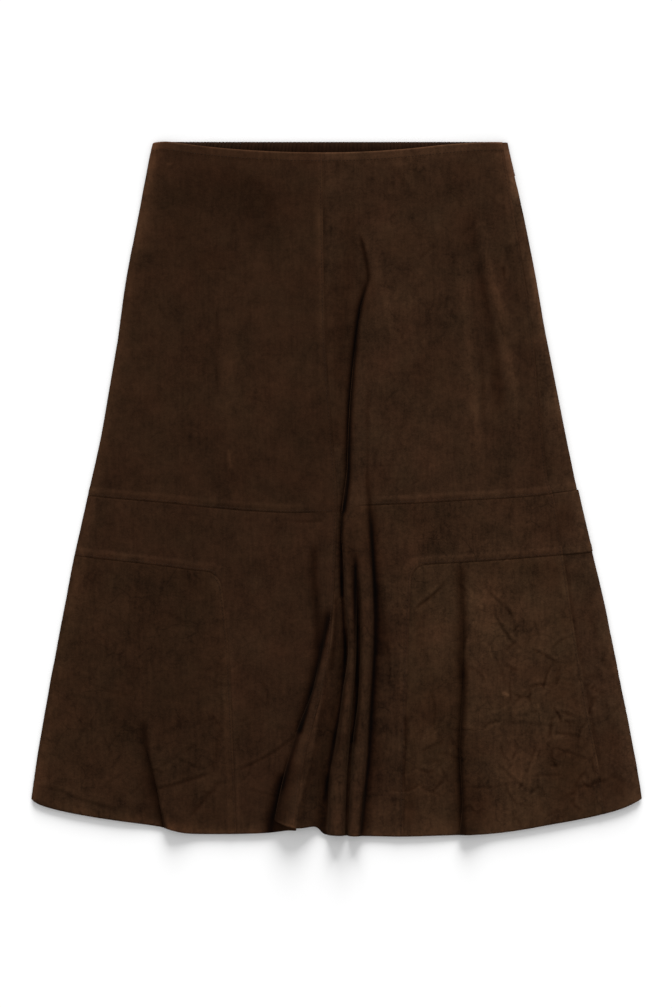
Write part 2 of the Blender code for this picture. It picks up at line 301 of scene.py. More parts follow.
# Points of a fold: how far before its foot the cloth starts to go down, and the last point
# before it at most, how high pressed cloth lies, and the heights of tuck, edge, top and
# crest, as shares of its rise
APPROACH = 7.0
FOLD_LEAD = 9.0
PRESSED = 2.3
TUCK_SHARE = 0.22
EDGE_SHARE = 0.5
TOP_SHARE = 0.95
CREST_SHARE = 1.04


def read(rows, column, at):
    """Reads a column of a table between its rows, on a smooth curve with no overshoot."""
    place, value = next(iter(rows.values())), rows[column]
    step = np.diff(value) / np.diff(place)
    before, after = step[:-1], step[1:]
    same_way = before * after > 0
    inner = np.where(same_way, 2 * before * after / np.where(same_way, before + after, 1), 0)
    slope = np.concatenate((step[:1], inner, step[-1:]))
    at = np.clip(at, place[0], place[-1])
    i = np.clip(np.searchsorted(place, at, side="right") - 1, 0, len(place) - 2)
    run = place[i + 1] - place[i]
    t = (at - place[i]) / run
    rest = 1 - t
    ends = value[i] * (1 + 2 * t) * rest**2 + value[i + 1] * (3 - 2 * t) * t**2
    return ends + run * (slope[i] * t * rest**2 - slope[i + 1] * t**2 * rest)


def ease(start, stop, at):
    """Goes from 0 to 1 between two places, with soft ends."""
    t = np.clip((at - start) / (stop - start), 0, 1)
    return t * t * (3 - 2 * t)


def actual_row(row, across, back):
    """Bends the nominal rows so that waist, seams and hem run where they do on the cloth."""
    if back:
        waist = np.hypot(across - APEX_ACROSS, APEX_TO_WAIST) - APEX_TO_WAIST
        tables = (BACK_UPPER_SEAM, BACK_LOWER_SEAM, BACK_HEM)
    else:
        waist = read(FRONT_WAIST, "row", across)
        tables = (UPPER_SEAM, LOWER_SEAM, FRONT_HEM)
    lines = [waist] + [read(line, "row", across) for line in tables]
    nominal = (WAIST_ROW, UPPER_SEAM_ROW, LOWER_SEAM_ROW, HEM_ROW)
    result = lines[0]
    for upper, lower, start, stop in zip(lines, lines[1:], nominal, nominal[1:]):
        result = result + (lower - upper) * np.clip((row - start) / (stop - start), 0, 1)
    return result


def fold_points(form, row, last, lie):
    """Gives the points across of one fold: name, place across and height."""
    columns = FOLD_COLUMNS.split()[1:]
    edge, crest, width, under, rise = (read(form, column, row) for column in columns)
    steep = ease(0.2, 0.9, rise / width)
    foot = edge + under
    approach = foot - np.minimum(APPROACH, (foot - last) / 2)
    low = lie + (PRESSED - lie) * ease(0, 3, rise)
    fall = crest + (width - crest) * (0.5 + 0.38 * steep)
    return [
        ("approach", approach, low),
        ("foot", foot, low),
        ("tuck", foot, low + TUCK_SHARE * rise),
        ("edge", edge, low + EDGE_SHARE * rise),
        ("top", edge + 0.35 * crest, lie + TOP_SHARE * rise),
        ("crest", edge + crest, lie + CREST_SHARE * rise),
        ("shoulder", edge + fall, lie + (0.55 + 0.3 * steep) * rise),
        ("base", edge + width, low + (lie - low) * (1 - steep)),
    ]


def control_net(row):
    """Lists the tube's control points across, all round, at each of the rows given."""
    reach = APEX_TO_WAIST + row
    left = APEX_ACROSS - read(SIDES, "left", row) * reach
    right = APEX_ACROSS + read(SIDES, "right", row) * reach
    lie = read(LIE, "height", row)
    floor = np.full_like(row, WALL / 2)
    net = []

    def add(name, across, height, back=False, lift=0.0):
        """Adds one named point."""
        net.append((name, across, height, actual_row(row, across, back) - lift))

    def spread(name, across, count, height, back=False):
        """Adds points evenly between the last one and a place across."""
        start = net[-1][1]
        for k in range(1, count + 1):
            add(f"{name} {k}", start + (across - start) * k / (count + 1), height, back)

    def fold(name, form, count):
        """Adds the points of one fold, after the plain cloth that leads up to it."""
        foot = read(form, "edge", row) + read(form, "under", row)
        spread(f"before {name}", foot - FOLD_LEAD, count, lie)
        points = fold_points(form, row, net[-1][1], lie)
        fall = ease(LOWER_SEAM_ROW, HEM_ROW, row)
        for point, across, height in points:
            lift = FLARE_HEM_LIFT.get(point, 0) * fall if name == "flare" else 0
            add(f"{name} {point}", across, height, lift=lift)

    def bridge(first, last):
        """Carries the cloth straight over the crease between two crests, above the split."""
        names = [entry[0] for entry in net]
        start, stop = names.index(first), names.index(last)
        deep = ease(SPLIT_START, SPLIT_END, row)
        for k in range(start + 1, stop):
            name, across, height, along = net[k]
            t = (across - net[start][1]) / (net[stop][1] - net[start][1])
            straight = net[start][2] + (net[stop][2] - net[start][2]) * t
            net[k] = (name, across, height * deep + straight * (1 - deep), along)

    add("left seam", left + LEFT_SEAM_IN, floor, back=True)
    add("left under", left + SIDE_RUN, floor, back=True)
    add("left foot", left + SIDE_TURN, floor)
    add("left side", left - SIDE_TURN / 2, (floor + lie) / 2)
    add("left brow", left + SIDE_TURN, lie)
    add("left face", left + SIDE_RUN, lie)
    fold("left hem", LEFT_HEM_FOLD, 2)
    spread("beside left seam", read(LEFT_PANEL_SEAM, "across", row), 1, lie)
    add("left panel seam", read(LEFT_PANEL_SEAM, "across", row), lie)
    fold("flare", FLARE_FOLD, 3)
    fold("roll", ROLL_FOLD, 0)
    fold("twin", TWIN_FOLD, 0)
    bridge("roll crest", "twin crest")
    spread("beside right seam", read(RIGHT_PANEL_SEAM, "across", row), 1, lie)
    add("right panel seam", read(RIGHT_PANEL_SEAM, "across", row), lie)
    fold("right hem", RIGHT_HEM_FOLD, 1)
    spread("beside side seam", read(RIGHT_SIDE_SEAM, "across", row), 3, lie)
    add("right side seam", read(RIGHT_SIDE_SEAM, "across", row), lie)
    spread("right face", right - SIDE_TURN, 1, lie)
    add("right brow", right - SIDE_TURN, lie)
    add("right side", right + SIDE_TURN / 2, (floor + lie) / 2)
    add("right foot", right - SIDE_TURN, floor)
    add("right under", right - SIDE_RUN, floor, back=True)
    spread("back", left + LEFT_SEAM_IN, 11, floor, back=True)
    return net


NAMES = [entry[0] for entry in control_net(np.array([WAIST_ROW]))]


def surface(column, row):
    """Places points of the tube, by column and row, as a cubic B-spline across."""
    net = control_net(row.ravel())
    control = np.array([entry[1:] for entry in net])
    count = len(net)
    whole = np.floor(column.ravel()).astype(int)
    t = column.ravel() - whole
    weights = (
        (1 - t) ** 3 / 6,
        (3 * t**3 - 6 * t**2 + 4) / 6,
        (-3 * t**3 + 3 * t**2 + 3 * t + 1) / 6,
        t**3 / 6,
    )
    each = np.arange(len(whole))
    across = np.zeros(len(whole))
    height = np.zeros(len(whole))
    along = np.zeros(len(whole))
    for k, weight in enumerate(weights):
        pick = control[(whole + k - 1) % count, :, each]
        across += weight * pick[:, 0]
        height += weight * pick[:, 1]
        along += weight * pick[:, 2]
    down = np.sqrt((APEX_TO_WAIST + along) ** 2 - (across - APEX_ACROSS) ** 2) - APEX_TO_WAIST
    points = np.stack((across, MIDDLE_ROW - down, height), axis=-1) * MM
    return points.reshape(column.shape + (3,))


# Steps of the cloth's grid, finer beside every edge
FRONT_STEP = 1.5
EDGE_STEPS = np.array((0, 0.35, 0.8, 1.4, 2.2))

# Sewing at the edges: how wide each turning lies under the cloth and how much it lifts it,
# where the stitches run and how deep they pull, and how far and deep an edge rolls over
ALLOWANCE = 8.0
ALLOWANCE_RISE = 0.45
WAIST_TURNING = 9.0
WAIST_RISE = 0.4
HEM_TURNING = 24.0
HEM_RISE = 0.15
STITCH_IN = 2.0
WAIST_STITCH_IN = 1.2
STITCH_WIDTH = 0.7
STITCH_PULL = 0.28
WAIST_PULL = 0.2
EDGE_ROLL = 1.1
SEAM_DROP = 0.65
UNDER_DROP = 0.35
WAIST_DROP = 1.1
HEM_DROP = 0.35
DIP = 1.6

# How much lighter the cloth is painted over an allowance, as painted light on its raised ridge,
# under one, as painted shade in its dip, on the turned waist, as painted light, and at the hem,
# and how uneven the wear makes that. Then the stitches, and the painted highlight at the limit of
# the allowance
SEAM_PAINTED_LIGHT, SEAM_WEAR = 0.20, 0.10
UNDER_PAINTED_SHADE, UNDER_WEAR = -0.10, 0.14
WAIST_PAINTED_LIGHT, WAIST_WEAR = 0.26, 0.12
HEM_LIGHT = 0.10
STITCH_LIGHT = -0.14
WAIST_STITCH_LIGHT = -0.05
LIMIT_HIGHLIGHT = 0.06
LIMIT_WIDTH = 0.9
# Painted shade where a seam's edge rolls over, and a painted highlight along the waist's turned edge
SEAM_EDGE_SHADE = -0.12
WAIST_EDGE_HIGHLIGHT = 0.65

# The casing of the back waist: painted light on its upper edge, and painted shade below it
CASING_EDGE_PAINTED_LIGHT, CASING_EDGE = 0.55, 3
CASING_PAINTED_SHADE, CASING_FROM, CASING_TO = 0.42, 1, 9

# Where the cross seam above the band hardly shows, drawn flat by the folds or worn: middle
# across and down, half spans across and down, and how much of the seam is lost
DRAWN_FLAT = (-3, 368, 34, 36, 0.96)
WORN_SEAM = (-96, 368, 60, 36, 0.6)

# Creases and marks of the front: width, depth and lip in mm, how much lighter each is painted,
# then the points across and down. A negative depth is a ridge. The lip is the ridge on the
# right of a crease that runs down, or above one that runs to the right. The lightness is partly
# worn nap and partly painted shade in the troughs and painted highlight on lips and ridges.
FRONT_CREASES = (
    (5.0, 1.3, 0.9, -0.10,
     ((136, 70), (140, 104), (144, 127), (150, 149), (157, 170), (166, 193), (175, 225))),
    (5.0, -0.7, 0, 0.26,
     ((145, 84), (148, 104), (153, 128), (159, 152), (165, 178), (171, 204), (178, 240), (184, 290))),
    (4.5, -0.7, 0, 0.22, ((128, 110), (129, 150), (132, 190), (136, 230), (141, 275), (146, 330))),
    (6.0, 0.4, 0, -0.14, ((144, 120), (149, 150), (154, 180), (160, 215), (165, 250), (168, 285))),
    (5.0, -0.4, 0, 0.15, ((36, 100), (42, 130), (52, 162), (57, 185), (60, 215))),
    (3.8, -0.2, 0, 0.11, ((-17, -30), (-17, 60), (-17, 110), (-16, 165), (-14, 235), (-11, 300))),
    (4.5, 0.3, 0, -0.08, ((-101, 52), (-88, 40), (-75, 47), (-67, 68), (-64, 89))),
    (2.6, 0.5, 0.3, -0.10, ((-120, 160), (-120, 210), (-120, 275))),
    (2.0, -0.3, 0, 0.11,
     ((-119, 420), (-113, 468), (-107, 515), (-104, 560), (-101, 610), (-99, 660), (-98, 720))),
    (1.5, 0.4, 0, -0.10, ((226, 385), (229, 406), (239.5, 479), (255, 568), (268, 632), (277, 700))),
    (1.6, -0.2, 0, 0.10, ((244, 515), (249, 545), (254, 575))),
    (3.0, 0.6, 0.3, -0.10, ((146, 205), (149, 250), (147, 290))),
    (2.5, 0.5, 0.4, -0.06, ((54, 24), (63, 35), (72, 48))),
    (9.0, -0.5, 0, 0.08, ((-114, 160), (-111, 230), (-113, 295))),
    (2.2, 0.7, 0.3, -0.12, ((34, 238), (31, 286), (32, 334))),
    (3.0, 0.7, 0.6, 0.10, ((206, 254), (214, 271), (221, 288))),
    (2.0, 0.5, 0.4, 0.12, ((171, 37), (177, 48), (182, 61))),
    (2.0, 0.5, 0.3, 0.08, ((178, 34), (182, 44))),
    (1.6, 0.5, 0.5, -0.08, ((159, 474), (169, 493), (182, 513))),
    (1.5, 0.4, 0.4, -0.08, ((170, 466), (179, 480))),
    (1.6, -0.3, 0, 0.14, ((136, 459), (147, 470))),
    (1.5, 0.4, 0.4, -0.08, ((262, 517), (272, 530), (282, 541))),
    (1.5, 0.4, 0.4, -0.06, ((267, 514), (276, 526), (285, 534))),
    (1.8, 0.35, 0.35, -0.10, ((170, 587), (190, 587), (208, 589), (228, 591))),
    (1.8, 0.3, 0.3, -0.06, ((217, 596), (232, 598), (245, 602))),
    (1.6, 0.5, 0.5, -0.14, ((161, 626), (174, 639), (184, 648), (198, 659))),
    (1.6, 0.5, 0.5, -0.14, ((203, 607), (199, 620), (190, 643))),
    (1.7, 0.4, 0.3, -0.10, ((129, 651), (156, 653), (181, 647))),
    (1.7, 0.6, 0.4, -0.14, ((203, 637), (205, 660), (209, 680))),
    (1.6, 0.4, 0.3, -0.10, ((202, 640), (225, 640))),
    (1.6, 0.4, 0.4, -0.09, ((175, 572), (190, 558), (203, 547), (214, 549), (232, 540))),
    (1.4, 0.4, 0.4, -0.10, ((155, 508), (165, 530), (174, 552))),
    (1.5, 0.4, 0.4, -0.11, ((217, 611), (238, 618), (255, 623))),
    (1.5, 0.4, 0.4, -0.12, ((254, 477), (267, 502), (280, 527))),
    (1.6, -0.3, 0, 0.12, ((266, 616), (280, 628), (300, 650))),
    (1.6, 0.4, 0.4, -0.12, ((77, 474), (93, 463), (109, 449))),
    (1.5, 0.4, 0.3, -0.10, ((111, 508), (119, 516), (128, 525))),
    (1.6, 0.4, 0.3, -0.10, ((84, 617), (96, 611), (110, 605))),
    (1.8, -0.3, 0, 0.10, ((138, 492), (146, 470), (152, 452))),
    (1.8, -0.3, 0, 0.10, ((150, 500), (158, 520), (163, 545))),
    (2.4, 0.55, 0.35, -0.12, ((238, 652), (254, 651), (270, 643))),
    (2.0, 0.6, 0.5, -0.08, ((264, 632), (287, 644), (307, 656))),
    (2.0, 0.5, 0.3, -0.08, ((262, 641), (276, 651), (292, 658))),
    (2.5, 0.9, 0.4, -0.12, ((71, 580), (70, 595), (71, 611))),
    (2.2, 0.5, 0.4, -0.10, ((-304, 651), (-281, 655), (-255, 667), (-217, 676))),
    (2.0, 0.6, 0.4, -0.16, ((-186, 655), (-158, 648), (-124, 637))),
    (1.6, 0.4, 0.3, -0.06, ((-161, 621), (-177, 632))),
    (1.6, 0.4, 0.3, -0.06, ((-163, 621), (-147, 630), (-130, 635))),
    (2.6, 0.7, 0.4, -0.15, ((-116, 646), (-131, 662), (-148, 684))),
    (3.0, 0.6, 0.3, -0.10, ((-118, 592), (-120, 616), (-125, 641))),
    (1.8, 0.4, 0.3, -0.06, ((-243, 662), (-230, 648), (-215, 638))),
    (1.8, 0.5, 0.4, -0.13, ((-104, 637), (-74, 624), (-50, 608), (-38, 598))),
    (1.6, 0.3, 0.3, -0.06, ((-85, 655), (-60, 662))),
    (1.3, 0.3, 0.3, -0.08, ((-50, 383), (-30, 384), (-10, 383))),
    (1.3, 0.3, 0.3, -0.08, ((-54, 388), (-64, 399))),
    (1.6, 0.2, 0.2, 0.45, ((-109, 309), (-107, 322), (-106, 331))),
    (1.4, -0.3, 0, 0.9, ((169, 557), (173, 559))),
    (1.2, 0.1, 0.1, 0.35, ((-170, 22), (-165, 22))),
    (1.5, 0.5, 0.5, -0.16, ((80, 470), (95, 460), (112, 443))),
    (1.4, -0.3, 0, 0.16, ((130, 460), (138, 466), (146, 470))),
    (1.4, -0.3, 0, 0.14, ((134, 452), (142, 461), (152, 466))),
    (1.5, 0.5, 0.5, -0.16, ((152, 452), (163, 464), (181, 480))),
    (1.5, 0.4, 0.4, -0.12, ((158, 478), (172, 498), (189, 514))),
    (1.4, 0.4, 0.4, -0.14, ((172, 470), (181, 487), (183, 506))),
    (1.4, 0.4, 0.4, -0.12, ((200, 483), (204, 495), (205, 504))),
    (1.4, 0.3, 0.3, -0.09, ((221, 599), (239, 597), (253, 606))),
    (1.5, 0.35, 0.35, -0.10, ((252, 652), (270, 645), (283, 640))),
    (1.5, 0.5, 0.5, -0.16, ((268, 517), (275, 528), (282, 539))),
    (1.4, 0.4, 0.5, -0.14, ((261, 511), (267, 523), (278, 531))),
    (1.4, 0.4, 0.4, -0.14, ((103, 626), (109, 637), (115, 649))),
    (1.5, 0.4, 0.4, -0.14, ((83, 650), (95, 655), (108, 662))),
    (1.4, 0.4, 0.5, -0.14, ((129, 677), (134, 668), (140, 678))),
    (1.4, 0.4, 0.5, -0.14, ((136, 671), (142, 680), (149, 671))),
    (1.6, -0.4, 0, 0.16, ((189, 634), (186, 646), (180, 656))),
    (1.4, 0.4, 0.4, -0.14, ((217, 513), (227, 503), (239, 499))),
    (1.4, 0.3, 0.3, -0.08, ((186, 553), (207, 547), (223, 553))),
    (1.4, 0.4, 0.4, -0.12, ((95, 553), (102, 574), (97, 594))),
    (1.4, 0.4, 0.4, -0.14, ((50, 503), (55, 528), (52, 553))),
)

# Painted shade where the folds turn over and light hardly gets in, and painted highlights on
# ridges and rims: how far each spreads to its left and its right, how much lighter, then its points
PAINTED_SHADES_AND_HIGHLIGHTS = (
    (12, 8, -0.22, ((18, 64), (15, 119), (12, 160), (7, 210), (2, 261), (-1, 311))),
    (2.0, 2.0, -0.6, ((24, 92), (28, 108), (32, 127), (33, 138), (29, 150), (25, 166))),
    (16, 12, -0.16, ((-2, 140), (-2, 178), (-2, 240))),
    (4.5, 2.8, -0.95,
     ((31, 137), (28, 153), (22, 180), (19, 210), (14, 261), (13, 301), (13, 341), (10, 362), (7, 380))),
    (2.6, 2.2, -0.85, ((9, 356), (6, 382), (5, 422), (6, 462))),
    (1.0, 4.0, -0.3, ((22, 190), (19, 215), (15, 261), (13, 301), (12, 350))),
    (5.0, 4.0, -0.5, ((-22, 402), (-22, 437), (-20, 463), (-17, 515))),
    (2.4, 2.6, -0.4, ((0, 455), (-1, 480), (-2, 505), (-5, 535))),
    (1.0, 6.0, -0.26,
     ((-2, 490), (-4, 508), (-8, 525), (-12, 552), (-17, 585), (-22, 613), (-26, 632), (-31, 648),
      (-37, 670), (-40, 694))),
    (2.0, 1.4, 0.3, ((-2, 455), (-3, 486), (-5, 508), (-9, 525), (-14, 550), (-20, 585), (-25, 613))),
    (6.5, 2.6, -0.9,
     ((-4, 466), (-7, 482), (-11, 502), (-16, 523), (-21, 543), (-31, 580), (-37, 600))),
    (2.8, 2.8, -0.7, ((-33, 580), (-44, 618), (-51, 642), (-55, 656))),
    (7.0, 5.0, -0.85, ((-52, 634), (-60, 665), (-66, 688), (-69, 710))),
    (2.0, 14.0, -0.46, ((-48, 620), (-57, 655), (-66, 700))),
    (4.0, 3.0, 0.36, ((-32, 640), (-36, 655), (-40, 670), (-43, 695))),
    (1.8, 2.0, -0.7, ((5, 430), (7, 483), (9, 505), (9, 530))),
    (2.4, 3.0, -0.86, ((9, 485), (10, 513), (6, 564), (-4, 614), (-10, 655), (-12, 670))),
    (8.0, 1.6, -0.6, ((-5, 634), (-8, 665), (-11, 690), (-14, 712))),
    (9.0, 3.0, -0.28, ((6, 463), (8, 513), (3, 564), (-6, 614), (-13, 665), (-22, 710))),
    (5.0, 5.0, -0.3, ((3, 596), (-1, 612), (-5, 630))),
    (2.6, 3.8, -0.94, ((20, 407), (19, 442), (19, 463), (21, 513), (21, 564), (17, 612))),
    (4.5, 4.0, -0.3, ((14, 405), (17, 430), (19, 460), (20, 500))),
    (1.4, 1.5, -0.5, ((17, 588), (14, 614), (12, 640), (11, 665), (10, 715))),
    (1.8, 3.0, -0.45, ((31, 323), (31, 341), (32, 362), (33, 382), (36, 422), (38, 463))),
    (2.0, 4.6, -0.9,
     ((33, 357), (35, 402), (38, 437), (39, 463), (39, 513), (36, 564), (33, 624), (27, 665),
      (23, 710))),
    (2.0, 9.0, -0.34, ((33, 351), (37, 422), (39, 463), (37, 513), (35, 564), (33, 614), (27, 710))),
    (1.5, 6.5, -0.5, ((38, 440), (41, 462), (42, 490), (40, 520))),
    (1.3, 1.3, 0.25, ((52, 448), (54, 470), (57, 492))),
    (5.0, 5.0, -0.5, ((126, 422), (127, 463), (129, 493), (126, 523), (128, 545))),
    (4.5, 4.0, -0.7,
     ((129, 515), (129, 545), (128, 572), (126, 598), (125, 618), (126, 645), (128, 675), (129, 710))),
    (4.0, 2.2, 0.17, ((-15, 6), (-15, 60), (-15, 140), (-11, 233))),
    (1.0, 1.3, -0.13, ((-12, 6), (-12, 70), (-12, 125), (-10, 190), (-8, 250))),
    (3.0, 3.0, 0.14, ((150, 128), (156, 160), (165, 194))),
    (3.0, 22.0, -0.2, ((128, 590), (126, 640), (128, 710))),
    (10.0, 2.2, -0.16, ((127, 463), (127, 513), (124, 564), (121, 614), (123, 665), (125, 710))),
    (2.5, 2.0, -0.3, ((71, 576), (70, 614), (68, 654))),
    (6.0, 2.2, -0.5, ((-194, 578), (-190, 618), (-183, 654), (-173, 690), (-171, 700))),
    (2.0, 3.0, 0.3, ((-180, 662), (-174, 678), (-168, 692), (-165, 700))),
    # Painted highlights along the two sides and along the hem
    (5.0, 7.0, 0.46,
     ((-184, -30), (-184, 1), (-201, 99), (-218, 200), (-240, 321), (-260, 427), (-280, 528),
      (-306, 663), (-310, 700))),
    (5.0, 14.0, 0.4, ((-184, -40), (-184, 1), (-190, 40), (-201, 110))),
    (4.0, 5.0, 0.45, ((-184, -60), (-184, 1), (-188, 25), (-193, 55))),
    (9.0, 5.0, 0.34,
     ((172, -30), (176, 5), (189, 59), (208, 160), (229, 261), (247, 341), (267, 452), (285, 543),
      (308, 663), (312, 690))),
    (16.0, 5.0, 0.3, ((172, -40), (176, 5), (186, 50), (196, 100))),
    (4.0, 6.0, 0.6, ((196, 110), (209, 180), (217, 220), (227, 262), (235, 296))),
    (9.0, 4.0, 0.5, ((170, -30), (175, 5), (181, 30), (187, 55))),
    (7.0, 7.0, 0.22,
     ((-330, 688), (-300, 690), (-180, 696), (-70, 693), (60, 698), (200, 702), (330, 690))),
    (5.0, 5.0, 0.5,
     ((-300, 664), (-270, 672), (-238, 681), (-187, 689), (-137, 697), (-96, 699), (-62, 696))),
    (1.0, 1.2, 0.6, ((-64, 683), (-54, 688), (-40, 692))),
    (4.0, 4.0, 0.25, ((10, 702), (45, 701), (90, 701))),
)

# Paler and darker patches, partly the hide's own uneven tone and partly painted shade and
# painted highlight beside folds, seams and the hem: place across and down, spread both ways,
# lightness
TONE_AND_PAINTED_LIGHT_PATCHES = (
    (-76, 68, 28, 28, -0.11),
    (-110, 48, 45, 14, -0.1),
    (-187, 392, 90, 16, -0.09),
    (-105, 225, 8, 45, 0.14),
    (-86, 266, 22, 34, 0.16),
    (65, 160, 20, 14, 0.18),
    (-155, 446, 34, 26, -0.12),
    (-220, 579, 14, 30, -0.14),
    (152, 478, 16, 34, 0.26),
    (205, 500, 18, 16, 0.12),
    (98, 495, 12, 18, 0.16),
    (166, 604, 26, 50, 0.12),
    (238, 668, 20, 22, -0.12),
    (257, 382, 16, 30, 0.12),
    (-46, 686, 5, 4, 0.6),
    (98, 600, 26, 70, -0.2),
    (215, 263, 5, 9, 0.3),
    (156, 12, 22, 9, 0.25),
    (190, 428, 60, 8, -0.12),
    (-160, 85, 26, 28, -0.14),
    (-130, 120, 20, 14, -0.14),
    (-150, 225, 22, 24, 0.14),
    (-55, 20, 40, 9, 0.18),
    (82, 18, 14, 9, 0.35),
    (130, 85, 14, 22, -0.14),
    (65, 105, 20, 14, -0.14),
    (55, 20, 30, 8, 0.12),
    (160, 245, 8, 36, -0.18),
    (206, 285, 9, 60, -0.2),
    (193, 130, 6, 34, -0.14),
    (100, 235, 28, 26, -0.12),
    (50, 312, 20, 14, 0.16),
    (17, 396, 12, 28, -0.3),
    (33, 398, 7, 34, -0.28),
    (32, 150, 9, 26, -0.25),
    (138, 168, 10, 22, -0.14),
    (70, 382, 30, 18, -0.12),
    (228, 378, 14, 20, -0.28),
    (-65, 435, 16, 30, 0.14),
    (-175, 455, 22, 12, 0.12),
    (145, 406, 9, 9, 0.2),
    (195, 410, 60, 8, 0.12),
    (62, 468, 9, 18, 0.2),
    (88, 488, 12, 26, -0.18),
    (50, 500, 6, 28, -0.12),
    (235, 480, 9, 18, -0.25),
    (222, 440, 30, 12, -0.14),
    (175, 480, 36, 22, 0.12),
    (152, 505, 16, 16, 0.12),
    (235, 550, 30, 22, -0.15),
    (196, 577, 18, 14, 0.2),
    (232, 632, 22, 34, -0.3),
    (280, 600, 14, 34, -0.16),
    (282, 652, 16, 18, -0.26),
    (192, 650, 22, 20, 0.16),
    (-85, 575, 13, 30, -0.14),
    (-170, 560, 34, 26, -0.12),
    (-192, 650, 9, 26, -0.22),
    (-255, 650, 50, 40, 0.16),
    (75, 625, 6, 75, -0.14),
    (62, 565, 11, 8, 0.15),
    (-25, 245, 8, 24, 0.12),
    (-110, 35, 50, 14, -0.12),
    (-50, 45, 26, 16, 0.12),
    (135, 25, 16, 12, -0.16),
    (95, 12, 26, 7, 0.14),
    (30, 42, 10, 14, 0.12),
    (-262, 480, 16, 40, 0.16),
    (-262, 560, 26, 40, 0.16),
    (-280, 655, 34, 16, 0.14),
    (105, 175, 34, 9, 0.14),
    (130, 240, 6, 24, 0.16),
    (185, 295, 9, 16, 0.2),
    (222, 325, 16, 14, -0.16),
    (100, 565, 18, 26, -0.16),
    (262, 465, 14, 40, -0.18),
    (184, 563, 14, 8, -0.16),
    (165, 612, 20, 10, -0.12),
    (142, 668, 16, 26, -0.22),
    (72, 668, 9, 20, -0.24),
    (270, 612, 24, 24, -0.12),
    (50, 512, 7, 22, -0.2),
    (-1, 606, 5, 9, -0.45),
    (14, 606, 5, 14, -0.4),
    (42, 620, 8, 25, -0.2),
    (-28, 405, 7, 10, 0.14),
)

# Small wrinkles, in patches: middle across and down, spread, count, length and depth
FRONT_WRINKLES = (
    (205, 560, 70, 75, 26, 0.29),
    (220, 640, 60, 50, 20, 0.29),
    (150, 480, 45, 22, 18, 0.25),
    (275, 560, 30, 20, 20, 0.28),
    (95, 620, 35, 16, 30, 0.28),
    (-150, 625, 70, 26, 24, 0.22),
    (-80, 540, 60, 16, 26, 0.16),
    (-240, 560, 60, 18, 26, 0.16),
    (120, 120, 70, 22, 22, 0.16),
    (60, 330, 60, 14, 24, 0.14),
    (-120, 200, 110, 26, 26, 0.12),
)
WRINKLE_SEED = 11

# How the wrinkles are drawn: scatter over the patch, share of the length, bend, share of the
# depth, width, lip, and their painted light and shade for each millimetre of depth
WRINKLE_SCATTER = 0.55
WRINKLE_RUNS = (0.4, 1.3)
WRINKLE_BEND = 0.12
WRINKLE_DEPTHS = (0.3, 1.2)
WRINKLE_WIDTHS = (1.1, 1.9)
WRINKLE_LIP = 0.5
WRINKLE_LIGHTS = (-0.8, 0.4)

# Small wrinkles of the side that lies on the floor
BACK_WRINKLES = (
    (0, 180, 150, 30, 34, 0.35),
    (-120, 540, 110, 34, 30, 0.4),
    (130, 560, 110, 34, 30, 0.4),
    (0, 430, 160, 20, 30, 0.3),
)
BACK_WRINKLE_SEED = 23

# Limits that keep the front over the back, and the back under the front
LEAST_OVER_BACK = 2.1
MOST_UNDER_FRONT = 0.85

# Bends sharper than this many degrees are shown as an edge
SHARP_ANGLE = 50

# Unevenness of the hide: size of the waves and their height
WAVES = ((95, 0.55), (38, 0.28), (15, 0.11), (6.5, 0.05))

# Creases: the share of their length in which they fade in and out, how many widths to the
# right the lip stands, how much painted highlight it gets, and how strongly a crease's painted
# light and shade are laid on
CREASE_END = 0.2
LIP_AT = 1.9
LIP_HIGHLIGHT = 1.1
CREASE_SHADING = 1.65

# Shares of their length in which the painted shades and highlights fade in and out
SHADE_START = 0.12
SHADE_END = 0.04

# Size of the uneven wear along edges, and the darkest that wear and painted shade make the cloth
WEAR_SIZE = 22
WEAR_SEED = 31
DARKEST_WEAR_AND_PAINTED_SHADE = 0.2

# How far down the cloth faces where it counts as turned under
TURNED_UNDER = -0.3


def walked(places):
    """Gives how far along its row of the cloth each place lies, in mm."""
    steps = np.linalg.norm(np.diff(places, axis=-2, prepend=places[..., :1, :]), axis=-1)
    return np.cumsum(steps, axis=-1) / MM


def graded(stations, step):
    """Lists distances from the first station to the last, finer on both sides of each."""
    inner = EDGE_STEPS[-1]
    result = []
    for start, stop in zip(stations, stations[1:]):
        count = max(round((stop - start - 2 * inner) / step), 1)
        result += list(start + EDGE_STEPS[:-1])
        result += list(np.linspace(start + inner, stop - inner, count + 1))
        result += list(stop - EDGE_STEPS[-2:0:-1])
    return np.array(result + [stations[-1]])


def columns_along(row, step, *seams):
    """Lists columns from one seam to the next, evenly spaced on the cloth at that row."""
    at = [NAMES.index(seam) for seam in seams]
    at = [column + len(NAMES) * (column < at[0]) for column in at]
    fine = np.linspace(at[0], at[-1], (at[-1] - at[0]) * 8 + 1)
    places = surface(fine, np.full_like(fine, row))
    run = walked(places)
    return np.interp(graded(np.interp(at, fine, run), step), run, fine)


def uneven(x, y, size, seed):
    """Gives soft unevenness of a given size, from -1 to 1, the same each run."""
    lattice = np.random.default_rng(seed).uniform(-1, 1, (97, 89))
    turn = 0.5 + 0.7 * seed
    u = (x * np.cos(turn) - y * np.sin(turn)) / size
    v = (x * np.sin(turn) + y * np.cos(turn)) / size
    i, j = np.floor(u).astype(int), np.floor(v).astype(int)
    s, t = u - i, v - j
    s = s * s * (3 - 2 * s)
    t = t * t * (3 - 2 * t)
    rows, columns = lattice.shape
    corner = lattice[i % rows, j % columns] * (1 - s) + lattice[(i + 1) % rows, j % columns] * s
    j = j + 1
    other = lattice[i % rows, j % columns] * (1 - s) + lattice[(i + 1) % rows, j % columns] * s
    return corner * (1 - t) + other * t


